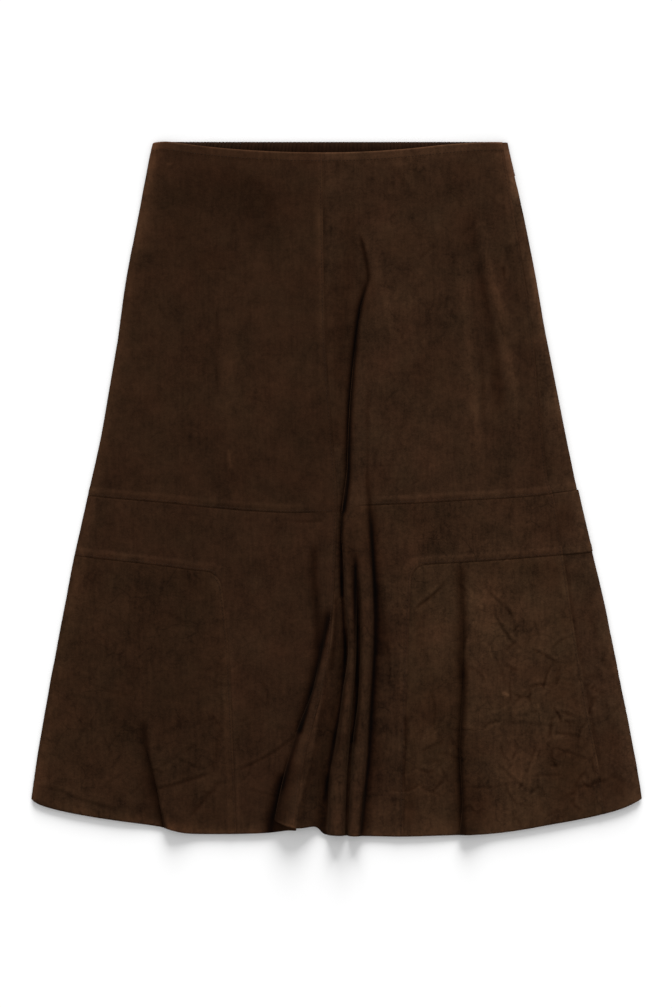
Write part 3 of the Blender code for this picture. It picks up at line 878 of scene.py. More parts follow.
def softened(points):
    """Rounds the corners of a line of points."""
    line = np.array(points, dtype=float)
    if len(line) < 3:
        return line
    for _ in range(2):
        quarter = line[:-1] * 0.75 + line[1:] * 0.25
        far = line[:-1] * 0.25 + line[1:] * 0.75
        between = np.stack((quarter, far), axis=1).reshape(-1, 2)
        line = np.concatenate((line[:1], between, line[-1:]))
    return line


def beside(points, x, y):
    """Gives how far right of a line each place is, and how far along the line, from 0 to 1."""
    line = softened(points)
    runs = np.linalg.norm(np.diff(line, axis=0), axis=1)
    off = np.full(x.shape, np.inf)
    along = np.zeros(x.shape)
    done = 0.0
    for (x0, y0), (x1, y1), run in zip(line, line[1:], runs):
        way_x, way_y = (x1 - x0) / run, (y1 - y0) / run
        here = np.clip((x - x0) * way_x + (y - y0) * way_y, 0, run)
        distance = np.hypot(x - x0 - here * way_x, y - y0 - here * way_y)
        right = (x - x0) * way_y - (y - y0) * way_x
        nearer = distance < np.abs(off)
        off = np.where(nearer, np.where(right < 0, -distance, distance), off)
        along = np.where(nearer, (done + here) / runs.sum(), along)
        done += run
    return off, along


def near_line(points, x, y, reach):
    """Marks the places within reach of a line of points."""
    low, high = np.min(points, axis=0) - reach, np.max(points, axis=0) + reach
    return (x > low[0]) & (x < high[0]) & (y > low[1]) & (y < high[1])


def crease(x, y, width, depth, lip, lighter, points):
    """Gives the height and the painted light and shade that one crease adds, soft at its ends."""
    height = np.zeros(x.shape)
    tone = np.zeros(x.shape)
    near = near_line(points, x, y, 5 * width)
    if near.any():
        off, along = beside(points, x[near], y[near])
        fade = 1
        if len(points) > 2:
            fade = ease(0, CREASE_END, along) * ease(0, CREASE_END, 1 - along)
        trough = np.exp(-((off / width) ** 2)) * fade
        bank = np.exp(-(((off - LIP_AT * width) / width) ** 2)) * fade
        height[near] = lip * depth * bank - depth * trough
        tone[near] = lighter * trough + LIP_HIGHLIGHT * abs(lighter) * lip * bank
    return height, tone


def shade(x, y, left, right, lighter, points):
    """Gives the lightness that one line of painted shade or highlight adds, spread unevenly to its two
    sides.
    """
    tone = np.zeros(x.shape)
    near = near_line(points, x, y, 3 * max(left, right))
    if near.any():
        off, along = beside(points, x[near], y[near])
        fade = ease(0, SHADE_START, along) * ease(0, SHADE_END, 1 - along)
        tone[near] = lighter * fade * np.exp(-((off / np.where(off < 0, left, right)) ** 2))
    return tone


def wrinkle_lines(patches, seed):
    """Draws the small wrinkles of the patches, as creases of uneven length and depth."""
    draw = np.random.default_rng(seed)
    lines = []
    for x, y, spread, count, length, depth in patches:
        for _ in range(count):
            start = np.array((x, y)) + draw.normal(0, WRINKLE_SCATTER, 2) * spread
            way = draw.uniform(0, np.pi)
            run = length * draw.uniform(*WRINKLE_RUNS)
            bend = draw.normal(0, WRINKLE_BEND) * run
            step = np.array((np.cos(way), np.sin(way))) * run / 2
            middle = start + step + np.array((-np.sin(way), np.cos(way))) * bend
            deep = depth * draw.uniform(*WRINKLE_DEPTHS)
            points = (tuple(start), tuple(middle), tuple(start + 2 * step))
            width = draw.uniform(*WRINKLE_WIDTHS)
            light = draw.uniform(*WRINKLE_LIGHTS) * depth
            lines.append((width, deep, WRINKLE_LIP, light, points))
    return lines


BACK_CREASES = wrinkle_lines(BACK_WRINKLES, BACK_WRINKLE_SEED)


def edge_finish(kind, off, wear):
    """Gives the height that the sewing at an edge adds, and its painted light and shade, by distance
    from it.
    """
    roll = 1 - ease(0, EDGE_ROLL, off)
    if kind == "over":
        laid = 1 - ease(ALLOWANCE - 1.0, ALLOWANCE + 0.6, off)
        stitched = np.exp(-(((off - STITCH_IN) / STITCH_WIDTH) ** 2))
        limit = np.exp(-(((off - ALLOWANCE) / LIMIT_WIDTH) ** 2))
        height = ALLOWANCE_RISE * laid - STITCH_PULL * stitched - SEAM_DROP * roll
        tone = (SEAM_PAINTED_LIGHT + SEAM_WEAR * wear) * laid + STITCH_LIGHT * stitched
        tone = tone + LIMIT_HIGHLIGHT * limit + SEAM_EDGE_SHADE * roll
    elif kind == "under":
        dip = 1 - ease(0, DIP, off)
        height = -UNDER_DROP * dip
        tone = (UNDER_PAINTED_SHADE + UNDER_WEAR * wear) * dip
    elif kind == "turned":
        laid = 1 - ease(WAIST_TURNING - 1.2, WAIST_TURNING + 0.8, off)
        stitched = np.exp(-(((off - WAIST_TURNING + WAIST_STITCH_IN) / STITCH_WIDTH) ** 2))
        height = WAIST_RISE * laid - WAIST_PULL * stitched - WAIST_DROP * roll**2
        tone = (WAIST_PAINTED_LIGHT + WAIST_WEAR * wear) * laid + WAIST_STITCH_LIGHT * stitched
        tone = tone + WAIST_EDGE_HIGHLIGHT * roll
    elif kind == "casing":
        height = 0 * off
        tone = CASING_EDGE_PAINTED_LIGHT * (1 - ease(0, CASING_EDGE, off))
        tone = tone - CASING_PAINTED_SHADE * ease(CASING_FROM, CASING_TO, off)
    else:
        laid = 1 - ease(HEM_TURNING - 3, HEM_TURNING + 1, off)
        height = HEM_RISE * laid - HEM_DROP * roll
        tone = HEM_LIGHT * roll * (1 + wear)
    return height, tone


def lay(columns, rows, corner=None):
    """Lays a grid on the cloth: its places in metres, its ways out, and runs across and level."""
    column, row = np.meshgrid(columns, rows)
    level = None
    if corner:
        seam, side = corner
        start = surface(column, row)
        run = walked(start)
        at_seam = run[:, [int(np.abs(columns - seam).argmin())]]
        level = ((run - at_seam) * side, LOWER_SEAM_ROW - row)
        column, row = round_corner(column, row, seam, side)
    places = surface(column, row)
    run = walked(places)
    out = np.cross(np.gradient(places, axis=0), np.gradient(places, axis=1))
    out /= np.maximum(np.linalg.norm(out, axis=2, keepdims=True), 1e-12)
    return column, row, places, out, run, level


def facings(out):
    """Gives how far the cloth faces up, and how far it faces down, from 0 to 1."""
    return ease(0.2, 0.7, out[..., 2]), ease(0.2, 0.7, -out[..., 2])


def hide(x, y, out, creases, seed):
    """Gives the hide before it is sewn: height, lightness, and what the painted shades, highlights and
    patches leave of it.
    """
    height = np.zeros(x.shape)
    tone = np.zeros(x.shape)
    for k, (size, deep) in enumerate(WAVES):
        height += deep * uneven(x, y, size, seed + k)
    up, under = facings(out)
    front = ease(TURNED_UNDER, 0.1, out[..., 2])
    for lines, facing in ((creases, up), (BACK_CREASES, under)):
        for line in lines:
            deep, light = crease(x, y, *line)
            height += deep * facing
            tone += CREASE_SHADING * light * facing
    kept = np.ones(x.shape)
    for line in PAINTED_SHADES_AND_HIGHLIGHTS:
        kept *= 1 + shade(x, y, *line) * front
    for across, along, wide, high, light in TONE_AND_PAINTED_LIGHT_PATCHES:
        kept *= 1 + light * up * np.exp(-(((x - across) / wide) ** 2) - ((y - along) / high) ** 2)
    return height, tone, kept


def less(x, y, across, along, wide, high, share):
    """Gives what is left of a seam's sewing round a place where it hardly shows."""
    return 1 - share * np.exp(-(((x - across) / wide) ** 4) - ((y - along) / high) ** 4)


def sew(height, tone, x, y, out, run, rows, edges, level, notched):
    """Adds the sewing of the edges to a panel's height and tone, and gives what lies outside it."""
    wear = uneven(x, y, WEAR_SIZE, WEAR_SEED)
    up, under = facings(out)
    flat = up + under
    drawn = less(x, y, *DRAWN_FLAT)
    worn = less(x, y, *WORN_SEAM)
    outside = np.zeros(x.shape, dtype=bool)
    if level:
        beyond, above = level
        off = np.maximum(-beyond, above)
        down_arm = ease(-4, 4, -beyond - above)
        if notched:
            outside = (beyond > 0.01) & (above < -0.01)
        else:
            off = -off
            down_arm = ease(-4, 4, -above - beyond)
        for arm, share in (("corner down", down_arm), ("corner across", 1 - down_arm)):
            deep, light = edge_finish(edges[arm], np.maximum(off, 0), wear)
            height += deep * share * flat
            tone += light * share
    offs = {
        "first": run,
        "last": run[:, -1:] - run,
        "top": np.repeat(rows[:, None] - rows[0], x.shape[1], axis=1),
        "foot": np.repeat(rows[-1] - rows[:, None], x.shape[1], axis=1),
    }
    for edge, off in offs.items():
        if edge in edges:
            deep, light = edge_finish(edges[edge], off, wear)
            light = light * under if edges[edge] == "casing" else light
            cross_seam = edge in ("top", "foot")
            sewn = drawn if cross_seam else 1
            height += deep * sewn * (1 if edges[edge] in ("turned", "hem") else flat)
            tone += light * sewn * (worn if cross_seam else 0.5)
    return outside


def placed(name, data):
    """Makes an object at the origin and puts it into the scene."""
    made = bpy.data.objects.new(name, data)
    bpy.context.scene.collection.objects.link(made)
    return made


def closed_shell(name, places, wear_and_painted_light, outside, wall, outer_wear_and_painted_light):
    """Makes a grid of cloth through the places and closes it to a wall, with its wear and painted light
    and shade on it.
    """
    down, across = places.shape[0] - 1, places.shape[1] - 1
    grid = bmesh.new()
    bmesh.ops.create_grid(grid, x_segments=across, y_segments=down, size=0.5)
    layer = grid.verts.layers.float.new("wear_and_painted_light")
    spare = []
    outer_values = []
    for vertex in grid.verts:
        i = round((vertex.co.x + 0.5) * across)
        j = round((0.5 - vertex.co.y) * down)
        vertex.co = places[j, i]
        vertex[layer] = wear_and_painted_light[j, i]
        if outer_wear_and_painted_light is not None:
            outer_values.append(outer_wear_and_painted_light[j, i])
        if outside[j, i]:
            spare.append(vertex)
    bmesh.ops.delete(grid, geom=spare, context="VERTS")
    area = sum(face.calc_area() for face in grid.faces)
    open_mesh = bpy.data.meshes.new(name)
    grid.to_mesh(open_mesh)
    grid.free()
    panel = placed(name, open_mesh)
    solid = panel.modifiers.new("Wall", "SOLIDIFY")
    solid.thickness = wall * MM
    solid.offset = 0
    graph = bpy.context.evaluated_depsgraph_get()
    closed = bpy.data.meshes.new_from_object(panel.evaluated_get(graph))
    corners = np.zeros(3 * len(closed.vertices), dtype=np.float32)
    closed.vertices.foreach_get("co", corners)
    # Nothing goes below the floor
    corners[2::3] = np.maximum(corners[2::3], 0)
    closed.vertices.foreach_set("co", corners)
    # The first layer of points is the outer side, which may have a lightness of its own, over the same
    # painted light and shade
    if outer_wear_and_painted_light is not None:
        values = np.zeros(len(closed.vertices), dtype=np.float32)
        closed.attributes["wear_and_painted_light"].data.foreach_get("value", values)
        values[: len(outer_values)] = outer_values
        closed.attributes["wear_and_painted_light"].data.foreach_set("value", values)
    panel.modifiers.clear()
    panel.data = closed
    bpy.data.meshes.remove(open_mesh)
    closed.name = name
    closed.shade_smooth()
    closed.set_sharp_from_angle(angle=np.radians(SHARP_ANGLE))
    return panel, area


def make_panel(name, columns, rows, edges, creases, corner=None, notched=False, wall=WALL, seed=0,
               wave=None, outer_tone=0.0):
    """Makes one panel as a thin closed shell, with its sewing, creases, wear and painted light and
    shade.

    edges names the finish of the first, last, top and foot edge, and of the two arms of a
    rounded corner, across and down. A notched panel lies round that corner, outside it.
    It gives back the panel, its flat width and length, and its flat area.
    """
    column, row, places, out, run, level = lay(columns, rows, corner)
    x = places[..., 0] / MM
    y = MIDDLE_ROW - places[..., 1] / MM
    height, tone, kept = hide(x, y, out, creases, seed)
    outside = sew(height, tone, x, y, out, run, rows, edges, level, notched)
    wear_and_painted_light = np.maximum(1 + tone, DARKEST_WEAR_AND_PAINTED_SHADE) * kept - 1
    outer_wear_and_painted_light = (1 + outer_tone) * kept - 1 if outer_tone else None
    flat_level = places[..., 2].copy()
    places = places + out * height[..., None] * MM
    lowest = np.where(out[..., 2] > 0, np.minimum(flat_level, LEAST_OVER_BACK * MM), wall / 2 * MM)
    highest = np.where(out[..., 2] < TURNED_UNDER, np.maximum(flat_level, MOST_UNDER_FRONT * MM), np.inf)
    places[..., 2] = np.clip(places[..., 2], lowest, highest)
    present = np.ma.masked_array(run, outside)
    width = (present.max(axis=1) - present.min(axis=1)).max() * MM
    if wave is not None:
        places[..., 2] += wave(column) * MM
        width = np.linalg.norm(np.diff(places, axis=1), axis=2).sum(axis=1).max()
    length = np.linalg.norm(np.diff(places, axis=0), axis=2).sum(axis=0).max()
    panel, area = closed_shell(name, places, wear_and_painted_light, outside, wall, outer_wear_and_painted_light)
    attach(panel, "root")
    return panel, (float(width), float(length)), area


# Nap: how fine each pattern is, its detail and its roughness, then its share in the shade and
# in the height. The strokes are drawn out along the hide
PATCHY = (14, 6, 0.95)
STROKED = (300, 2, 0.6)
GRAINED = (700, 2, 0.7)
HUED = (26, 2, 0.5)
STROKE_LENGTH = 0.14
SHADE_SHARES = (2.2, 0.5, 0.42)
HEIGHT_SHARES = (0.5, 0.3, 0.5)
DARKEST_SPOT = 0.45

# Worn creases: how far their lines are bent and how finely, size, width and share of the two
# sizes, and where a mask begins and ends to break them
BEND = 0.02
BENT = (40, 2, 0.5)
WORN_LINES = ((38, 0.05, 1.0), (75, 0.07, 0.7))
BREAKS = (0.48, 0.62)

# Tints of the hide, from reddish to greenish, and the warmth of deep shade
REDDER = (1.10, 0.96, 0.93, 1)
GREENER = (0.91, 1.04, 1.01, 1)
WARM_SHADE = (1.0, 0.72, 0.5, 1)
UNTINTED = (1.0, 1.0, 1.0, 1)


def suede_nap():
    """Makes the group that gives suede its cloudy nap, brushed strokes and fine grain."""
    group = bpy.data.node_groups.new("suede nap", "ShaderNodeTree")
    face = group.interface
    face.new_socket("Place", in_out="INPUT", socket_type="NodeSocketVector")
    face.new_socket("Colour", in_out="INPUT", socket_type="NodeSocketColor")
    for name in ("Lightness", "Mottling", "Creasing"):
        face.new_socket(name, in_out="INPUT", socket_type="NodeSocketFloat")
    face.new_socket("Colour", in_out="OUTPUT", socket_type="NodeSocketColor")
    face.new_socket("Height", in_out="OUTPUT", socket_type="NodeSocketFloat")
    given = group.nodes.new("NodeGroupInput").outputs
    result = group.nodes.new("NodeGroupOutput").inputs

    def node(kind, fed, **settings):
        """Adds a node and feeds its sockets, each with a number or with another node's output."""
        made = group.nodes.new(f"ShaderNode{kind}")
        for setting, value in settings.items():
            setattr(made, setting, value)
        for socket, value in fed.items():
            if isinstance(value, bpy.types.NodeSocket):
                group.links.new(value, made.inputs[socket])
            else:
                made.inputs[socket].default_value = value
        return made.outputs

    def worked(operation, *values):
        """Works out one mask from others and from numbers."""
        return node("Math", dict(enumerate(values)), operation=operation)[0]

    def noise(place, form, output="Fac"):
        """Gives soft noise of one form: how fine it is, its detail and its roughness."""
        scale, detail, roughness = form
        fed = {"Vector": place, "Scale": scale, "Detail": detail, "Roughness": roughness}
        return node("TexNoise", fed)[output]

    def mixed(first, second, share):
        """Mixes two tints."""
        return node("Mix", {"A": first, "B": second, "Factor": share}, data_type="RGBA")["Result"]

    def tinted(first, second):
        """Colours one colour by another."""
        return node("VectorMath", {0: first, 1: second}, operation="MULTIPLY")[0]

    def soft_step(value, start, stop, low=0.0, high=1.0):
        """Goes softly from low to high while the value goes from start to stop."""
        fed = {"Value": value, "From Min": start, "From Max": stop, "To Min": low, "To Max": high}
        return node("MapRange", fed, interpolation_type="SMOOTHSTEP")[0]

    def sum_of(parts, start):
        """Adds up masks, each less its middle and times its share."""
        total = None
        for mask, share in parts:
            part = worked("MULTIPLY_ADD", mask, share, start - share / 2)
            total = part if total is None else worked("ADD", total, part)
            start = 0.0
        return total

    def broken_lines():
        """Draws the fine lines along which worn suede has creased, broken up by a mask."""
        fed = {0: noise(given["Place"], BENT, "Color"), 1: (BEND, BEND, 0.0), 2: given["Place"]}
        bent = node("VectorMath", fed, operation="MULTIPLY_ADD")[0]
        lines = []
        for scale, width, share in WORN_LINES:
            cells = node("TexVoronoi", {"Vector": bent, "Scale": scale}, feature="DISTANCE_TO_EDGE")
            line = soft_step(cells["Distance"], 0.0, width, share, 0.0)
            unbroken = soft_step(noise(given["Place"], (scale * 0.8, 2, 0.5)), *BREAKS)
            lines.append(worked("MULTIPLY", line, unbroken))
        return worked("MAXIMUM", *lines)

    brushed = node("Mapping", {"Vector": given["Place"], "Scale": (1.0, STROKE_LENGTH, 1.0)})["Vector"]
    patches = noise(given["Place"], PATCHY)
    strokes = noise(brushed, STROKED)
    grain = noise(given["Place"], GRAINED)
    darker = worked("MULTIPLY", broken_lines(), given["Creasing"])
    cloudy = sum_of(zip((patches, strokes, grain), SHADE_SHARES), 0.0)
    scaled = worked("MULTIPLY_ADD", cloudy, given["Mottling"], 1.0)
    limited = worked("MAXIMUM", worked("SUBTRACT", scaled, darker), DARKEST_SPOT)
    lightness = worked("ADD", given["Lightness"], 1.0)
    tint = mixed(REDDER, GREENER, noise(given["Place"], HUED))
    warm = tinted(mixed(WARM_SHADE, UNTINTED, lightness), tint)
    fed = {0: tinted(given["Colour"], warm), "Scale": worked("MULTIPLY", limited, lightness)}
    group.links.new(node("VectorMath", fed, operation="SCALE")[0], result["Colour"])
    rough = sum_of(zip((grain, strokes, patches), HEIGHT_SHARES), 0.5)
    group.links.new(worked("SUBTRACT", rough, darker), result["Height"])
    return group


nap_group = suede_nap()


def plain_finish(name, colour, roughness, shine):
    """Makes a material of one colour."""
    material = bpy.data.materials.new(name)
    material.use_nodes = True
    shader = material.node_tree.nodes["Principled BSDF"]
    shader.inputs["Base Color"].default_value = (*colour, 1)
    shader.inputs["Roughness"].default_value = roughness
    shader.inputs["Specular IOR Level"].default_value = shine
    return material


def suede(name, colour, shift, mottling=1.0, creasing=0.1):
    """Makes the suede of one hide: shift moves the pattern, so that no two panels are alike."""
    material = plain_finish(name, colour, 0.95, 0.03)
    nodes, links = material.node_tree.nodes, material.node_tree.links
    shader = nodes["Principled BSDF"]
    shader.inputs["Sheen Weight"].default_value = 0.02
    shader.inputs["Sheen Roughness"].default_value = 0.4
    shader.inputs["Sheen Tint"].default_value = (0.9, 0.45, 0.22, 1)
    place = nodes.new("ShaderNodeTexCoord")
    moved = nodes.new("ShaderNodeMapping")
    moved.inputs["Location"].default_value = shift
    # The attribute holds the cloth's wear and its painted light and shade
    lightness = nodes.new("ShaderNodeAttribute")
    lightness.attribute_name = "wear_and_painted_light"
    look = nodes.new("ShaderNodeGroup")
    look.node_tree = nap_group
    look.inputs["Colour"].default_value = (*colour, 1)
    look.inputs["Mottling"].default_value = mottling
    look.inputs["Creasing"].default_value = creasing
    bump = nodes.new("ShaderNodeBump")
    bump.inputs["Strength"].default_value = 0.5
    bump.inputs["Distance"].default_value = 0.0006
    links.new(place.outputs["Object"], moved.inputs["Vector"])
    links.new(moved.outputs["Vector"], look.inputs["Place"])
    links.new(lightness.outputs["Fac"], look.inputs["Lightness"])
    links.new(look.outputs["Colour"], shader.inputs["Base Color"])
    links.new(look.outputs["Height"], bump.inputs["Height"])
    links.new(bump.outputs["Normal"], shader.inputs["Normal"])
    return material


def finish_panel(made, node, material):
    """Gives a panel its suede and hides the CAD part of its node."""
    panel, flat, area = made
    panel.data.materials.append(material)
    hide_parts(node)
    return panel


front_creases = list(FRONT_CREASES) + wrinkle_lines(FRONT_WRINKLES, WRINKLE_SEED)


def front_panel(place, level, seams, rows, edges, look, rests_on, **corner):
    """Makes one panel of the front between two seams, its columns even at one level."""
    columns = columns_along(level, FRONT_STEP, *seams)
    made = make_panel(f"suede_{place}", columns, rows, edges, front_creases, **corner)
    material = suede(f"suede {place.replace('_', ' ')}", *look)
    return finish_panel(made, f"front_{place}", material)


# Colour, shift of the pattern, mottling and creasing of each hide
SUEDE_UPPER_LEFT = ((0.0226, 0.0101, 0.0049), (0.31, 0.12, 0))
SUEDE_UPPER_RIGHT = ((0.0268, 0.0124, 0.0062), (1.77, 0.43, 0), 1.2, 0.14)
MIDDLE_OF_UPPER = 200.0
upper_rows = graded((WAIST_ROW, UPPER_SEAM_ROW), FRONT_STEP)
upper_left = front_panel(
    "upper_left",
    MIDDLE_OF_UPPER,
    ("left seam", "flare crest"),
    upper_rows,
    {"top": "turned", "last": "over", "foot": "over"},
    SUEDE_UPPER_LEFT,
    ["back_waistband", "back_upper"],
)
upper_right = front_panel(
    "upper_right",
    MIDDLE_OF_UPPER,
    ("flare crest", "right side seam"),
    upper_rows,
    {"top": "turned", "first": "under", "last": "over", "foot": "over"},
    SUEDE_UPPER_RIGHT,
    ["back_waistband", "back_upper"],
)


# Front band and middle
#
# Two L-shaped suede pieces, each a band across its half of the front and a flaring panel down
# to the hem. They are sewn under the panels above, and round the corner of the side panels.

CORNER_RADIUS = 14.0
CORNER_FADE = 45.0
SUEDE_CENTRE_LEFT = ((0.0232, 0.0103, 0.0051), (2.9, 1.1, 0), 1.1, 0.12)
SUEDE_CENTRE_RIGHT = ((0.0258, 0.0119, 0.0059), (4.2, 0.7, 0), 1.45, 0.24)
MIDDLE_OF_LOWER = 600.0


def column_at(name):
    """Gives the column of a named line."""
    return float(NAMES.index(name))


def round_corner(column, row, seam, side):
    """Rounds the corner where a side panel's top seam turns down into its inner seam."""
    here = surface(np.array([seam, seam + side]), np.array([LOWER_SEAM_ROW, LOWER_SEAM_ROW]))
    pace = np.linalg.norm(here[1] - here[0]) / MM
    u = (column - seam) * side * pace
    v = LOWER_SEAM_ROW - row
    level = np.maximum(-u, v)
    radius = CORNER_RADIUS * np.clip(1 - (level / CORNER_FADE) ** 2, 0, 1) ** 2
    arm_u = np.clip((-u - (level - radius)) / np.maximum(radius, 1e-9), 0, 1)
    arm_v = np.clip((v - (level - radius)) / np.maximum(radius, 1e-9), 0, 1)
    near = (arm_u > 0) & (arm_v > 0) & (radius > 0)
    turn = np.where(v >= -u, np.pi / 2 - arm_u * np.pi / 4, arm_v * np.pi / 4)
    new_u = -(level - radius + radius * np.cos(turn))
    new_v = level - radius + radius * np.sin(turn)
    u = np.where(near, new_u, u)
    v = np.where(near, new_v, v)
    return seam + u * side / pace, LOWER_SEAM_ROW - v


centre_rows = graded((UPPER_SEAM_ROW, LOWER_SEAM_ROW, HEM_ROW), FRONT_STEP)
left_corner = (column_at("left panel seam"), -1)
right_corner = (column_at("right panel seam"), 1)
centre_left = front_panel(
    "centre_left",
    MIDDLE_OF_LOWER,
    ("left seam", "left panel seam", "flare crest"),
    centre_rows,
    {"top": "under", "last": "over", "foot": "hem", "corner across": "over", "corner down": "under"},
    SUEDE_CENTRE_LEFT,
    ["back_band", "back_lower"],
    corner=left_corner,
    notched=True,
)
centre_right = front_panel(
    "centre_right",
    MIDDLE_OF_LOWER,
    ("flare crest", "right panel seam", "right side seam"),
    centre_rows,
    {
        "top": "under",
        "first": "under",
        "last": "over",
        "foot": "hem",
        "corner across": "over",
        "corner down": "over",
    },
    SUEDE_CENTRE_RIGHT,
    ["back_band", "back_lower"],
    corner=right_corner,
    notched=True,
)


# Lower side panels of the front
#
# Two suede panels set into the L-shaped pieces, with a rounded upper inner corner. They are
# the most worn part of the skirt, creased where it was folded and sat on.

SUEDE_LOWER_LEFT = ((0.0208, 0.0094, 0.0045), (5.6, 2.3, 0), 1.2, 0.2)
SUEDE_LOWER_RIGHT = ((0.0305, 0.0147, 0.0072), (7.1, 1.9, 0), 1.3, 0.24)
lower_rows = graded((LOWER_SEAM_ROW, HEM_ROW), FRONT_STEP)
lower_left = front_panel(
    "lower_left",
    MIDDLE_OF_LOWER,
    ("left seam", "left panel seam"),
    lower_rows,
    {"foot": "hem", "corner across": "under", "corner down": "over"},
    SUEDE_LOWER_LEFT,
    ["back_lower"],
    corner=left_corner,
)
lower_right = front_panel(
    "lower_right",
    MIDDLE_OF_LOWER,
    ("right panel seam", "right side seam"),
    lower_rows,
    {"last": "over", "foot": "hem", "corner across": "under", "corner down": "under"},
    SUEDE_LOWER_RIGHT,
    ["back_lower"],
    corner=right_corner,
)


# Back waistband
#
# A casing of suede drawn up on an elastic, so that it stands in fine gathers. Only its inner
# side shows, above the edge of the front.

BAND_WALL = 2.0
BAND_HEIGHT = 35.0
GATHERS = 84
GATHER_RISE = 1.3
GATHER_DEPTHS = (0.55, 1.0)
GATHER_SHIFTS = (-0.22, 0.22)
GATHER_FADE = 0.04
GATHER_COLUMNS = 12
GATHER_SEED = 5
BACK_STEP = 3.5
# How much paler the outer side is than the inner one, whose colour is darkened as painted shade
OUTER_SIDE = 0.6
SUEDE_INSIDE_IN_PAINTED_SHADE = ((0.0190, 0.0088, 0.0046), (8.3, 3.1, 0))

gather_start = column_at("right under")
gather_stop = column_at("left seam") + len(NAMES)
gather_draw = np.random.default_rng(GATHER_SEED)
gather_depths = gather_draw.uniform(*GATHER_DEPTHS, GATHERS + 1)
gather_shifts = gather_draw.uniform(*GATHER_SHIFTS, GATHERS + 1)


def gathers(column):
    """Height of the gathers, uneven in depth and spacing, which die out at the side seams."""
    share = np.clip((column - gather_start) / (gather_stop - gather_start), 0, 1)
    inside = ease(0, GATHER_FADE, share) * ease(0, GATHER_FADE, 1 - share)
    at = share * GATHERS
    at = at + np.interp(at, np.arange(GATHERS + 1), gather_shifts) * inside
    depth = np.interp(at, np.arange(GATHERS + 1), gather_depths)
    wave = 1 - np.cos(2 * np.pi * at)
    return (BAND_WALL - WALL) / 2 + GATHER_RISE / 2 * depth * inside * wave


band_start = columns_along(WAIST_ROW, BACK_STEP, "right side seam", "right under")
gathered = np.linspace(gather_start, gather_stop, GATHERS * GATHER_COLUMNS + 1)
finish_panel(
    make_panel(
        "suede_back_waistband",
        np.concatenate((band_start[:-1], gathered)),
        graded((WAIST_ROW, WAIST_ROW + BAND_HEIGHT), BACK_STEP),
        {"top": "casing"},
        (),
        wall=BAND_WALL,
        seed=40,
        wave=gathers,
        outer_tone=OUTER_SIDE,
    ),
    "back_waistband",
    suede("suede inside", *SUEDE_INSIDE_IN_PAINTED_SHADE),
)


# Back panels
#
# Three plain panels that repeat the levels of the front. They lie flat on the floor, wrap the
# right side and meet the front there, and have creases like the front's.

SUEDE_BACK = (0.0310, 0.0150, 0.0077)
back_rows = {
    "upper": graded((WAIST_ROW + BAND_HEIGHT, UPPER_SEAM_ROW), BACK_STEP),
    "band": graded((UPPER_SEAM_ROW, LOWER_SEAM_ROW), BACK_STEP),
    "lower": graded((LOWER_SEAM_ROW, HEM_ROW), BACK_STEP),
}
back_edges = {
    "upper": {"first": "under", "foot": "over"},
    "band": {"first": "under", "top": "under", "foot": "over"},
    "lower": {"first": "under", "top": "under", "foot": "hem"},
}
for k, (level_name, rows) in enumerate(back_rows.items()):
    finish_panel(
        make_panel(
            f"suede_back_{level_name}",
            columns_along(rows.mean(), BACK_STEP, "right side seam", "left seam"),
            rows,
            back_edges[level_name],
            front_creases,
            seed=60 + 10 * k,
        ),
        f"back_{level_name}",
        suede(f"suede back {level_name}", SUEDE_BACK, (9.7 + k, 0.9 * k, 0), 1.3, 0.2),
    )


# Stitching
#
# Brown thread in single stitches: along the turned waist edge, and beside each seam on the side
# to which its allowances are pressed. Each stitch is a small rounded bead of thread.

STITCH_PITCH = 3.5
STITCH_LENGTH = 2.7
THREAD_RADIUS = 0.22
THREAD_BROWN = (0.0230, 0.0106, 0.0054)
# Where the cloth turns under, the stitches are pressed into the hide and not made
LEAST_FACING = 0.5
# How much of a stitch stands out of the cloth, and how flat it is
STITCH_OUT = 0.35
STITCH_FLATNESS = 0.8
# Points on the ways that the stitches follow: waist, cross seam, downward seams and corners
WAIST_POINTS = 600
CROSS_POINTS = 400
DOWN_POINTS = 300
CORNER_POINTS = 260

thread_mesh = bmesh.new()


def cloth_tree(*panels):
    """Gathers finished panels for finding the nearest place on their cloth."""
    places, faces = [], []
    for panel in panels:
        start = len(places)
        places += [vertex.co.copy() for vertex in panel.data.vertices]
        faces += [tuple(start + k for k in face.vertices) for face in panel.data.polygons]
    return BVHTree.FromPolygons(places, faces)


def stitch_along(column, row, cloth):
    """Sews one line of stitches along a way given by column and row, on the outside of the cloth."""
    here = surface(column, row)
    aside = surface(column + 0.02, row) - surface(column - 0.02, row)
    down = surface(column, row + 1) - surface(column, row - 1)
    out = np.cross(down, aside)
    out /= np.linalg.norm(out, axis=1, keepdims=True)
    run = walked(here)

    def along(values, at):
        """Reads points or ways at a distance along the line."""
        return Vector([np.interp(at, run, values[:, k]) for k in range(3)])

    for at in np.arange(STITCH_PITCH / 2, run[-1], STITCH_PITCH):
        place, facing, _, _ = cloth.find_nearest(along(here, at) + along(out, at) * 2 * MM)
        if facing.z < LEAST_FACING:
            continue
        way = (along(here, at + 1) - along(here, at - 1)).normalized()
        way = (way - facing * way.dot(facing)).normalized()
        side = facing.cross(way)
        turn = Matrix((way, side, facing)).transposed().to_4x4()
        turn.translation = place + facing * THREAD_RADIUS * STITCH_OUT * MM
        size = (STITCH_LENGTH / 2 * MM, THREAD_RADIUS * MM, THREAD_RADIUS * STITCH_FLATNESS * MM, 1)
        bead = turn @ Matrix.Diagonal(size)
        bmesh.ops.create_uvsphere(thread_mesh, u_segments=6, v_segments=4, radius=1, matrix=bead)


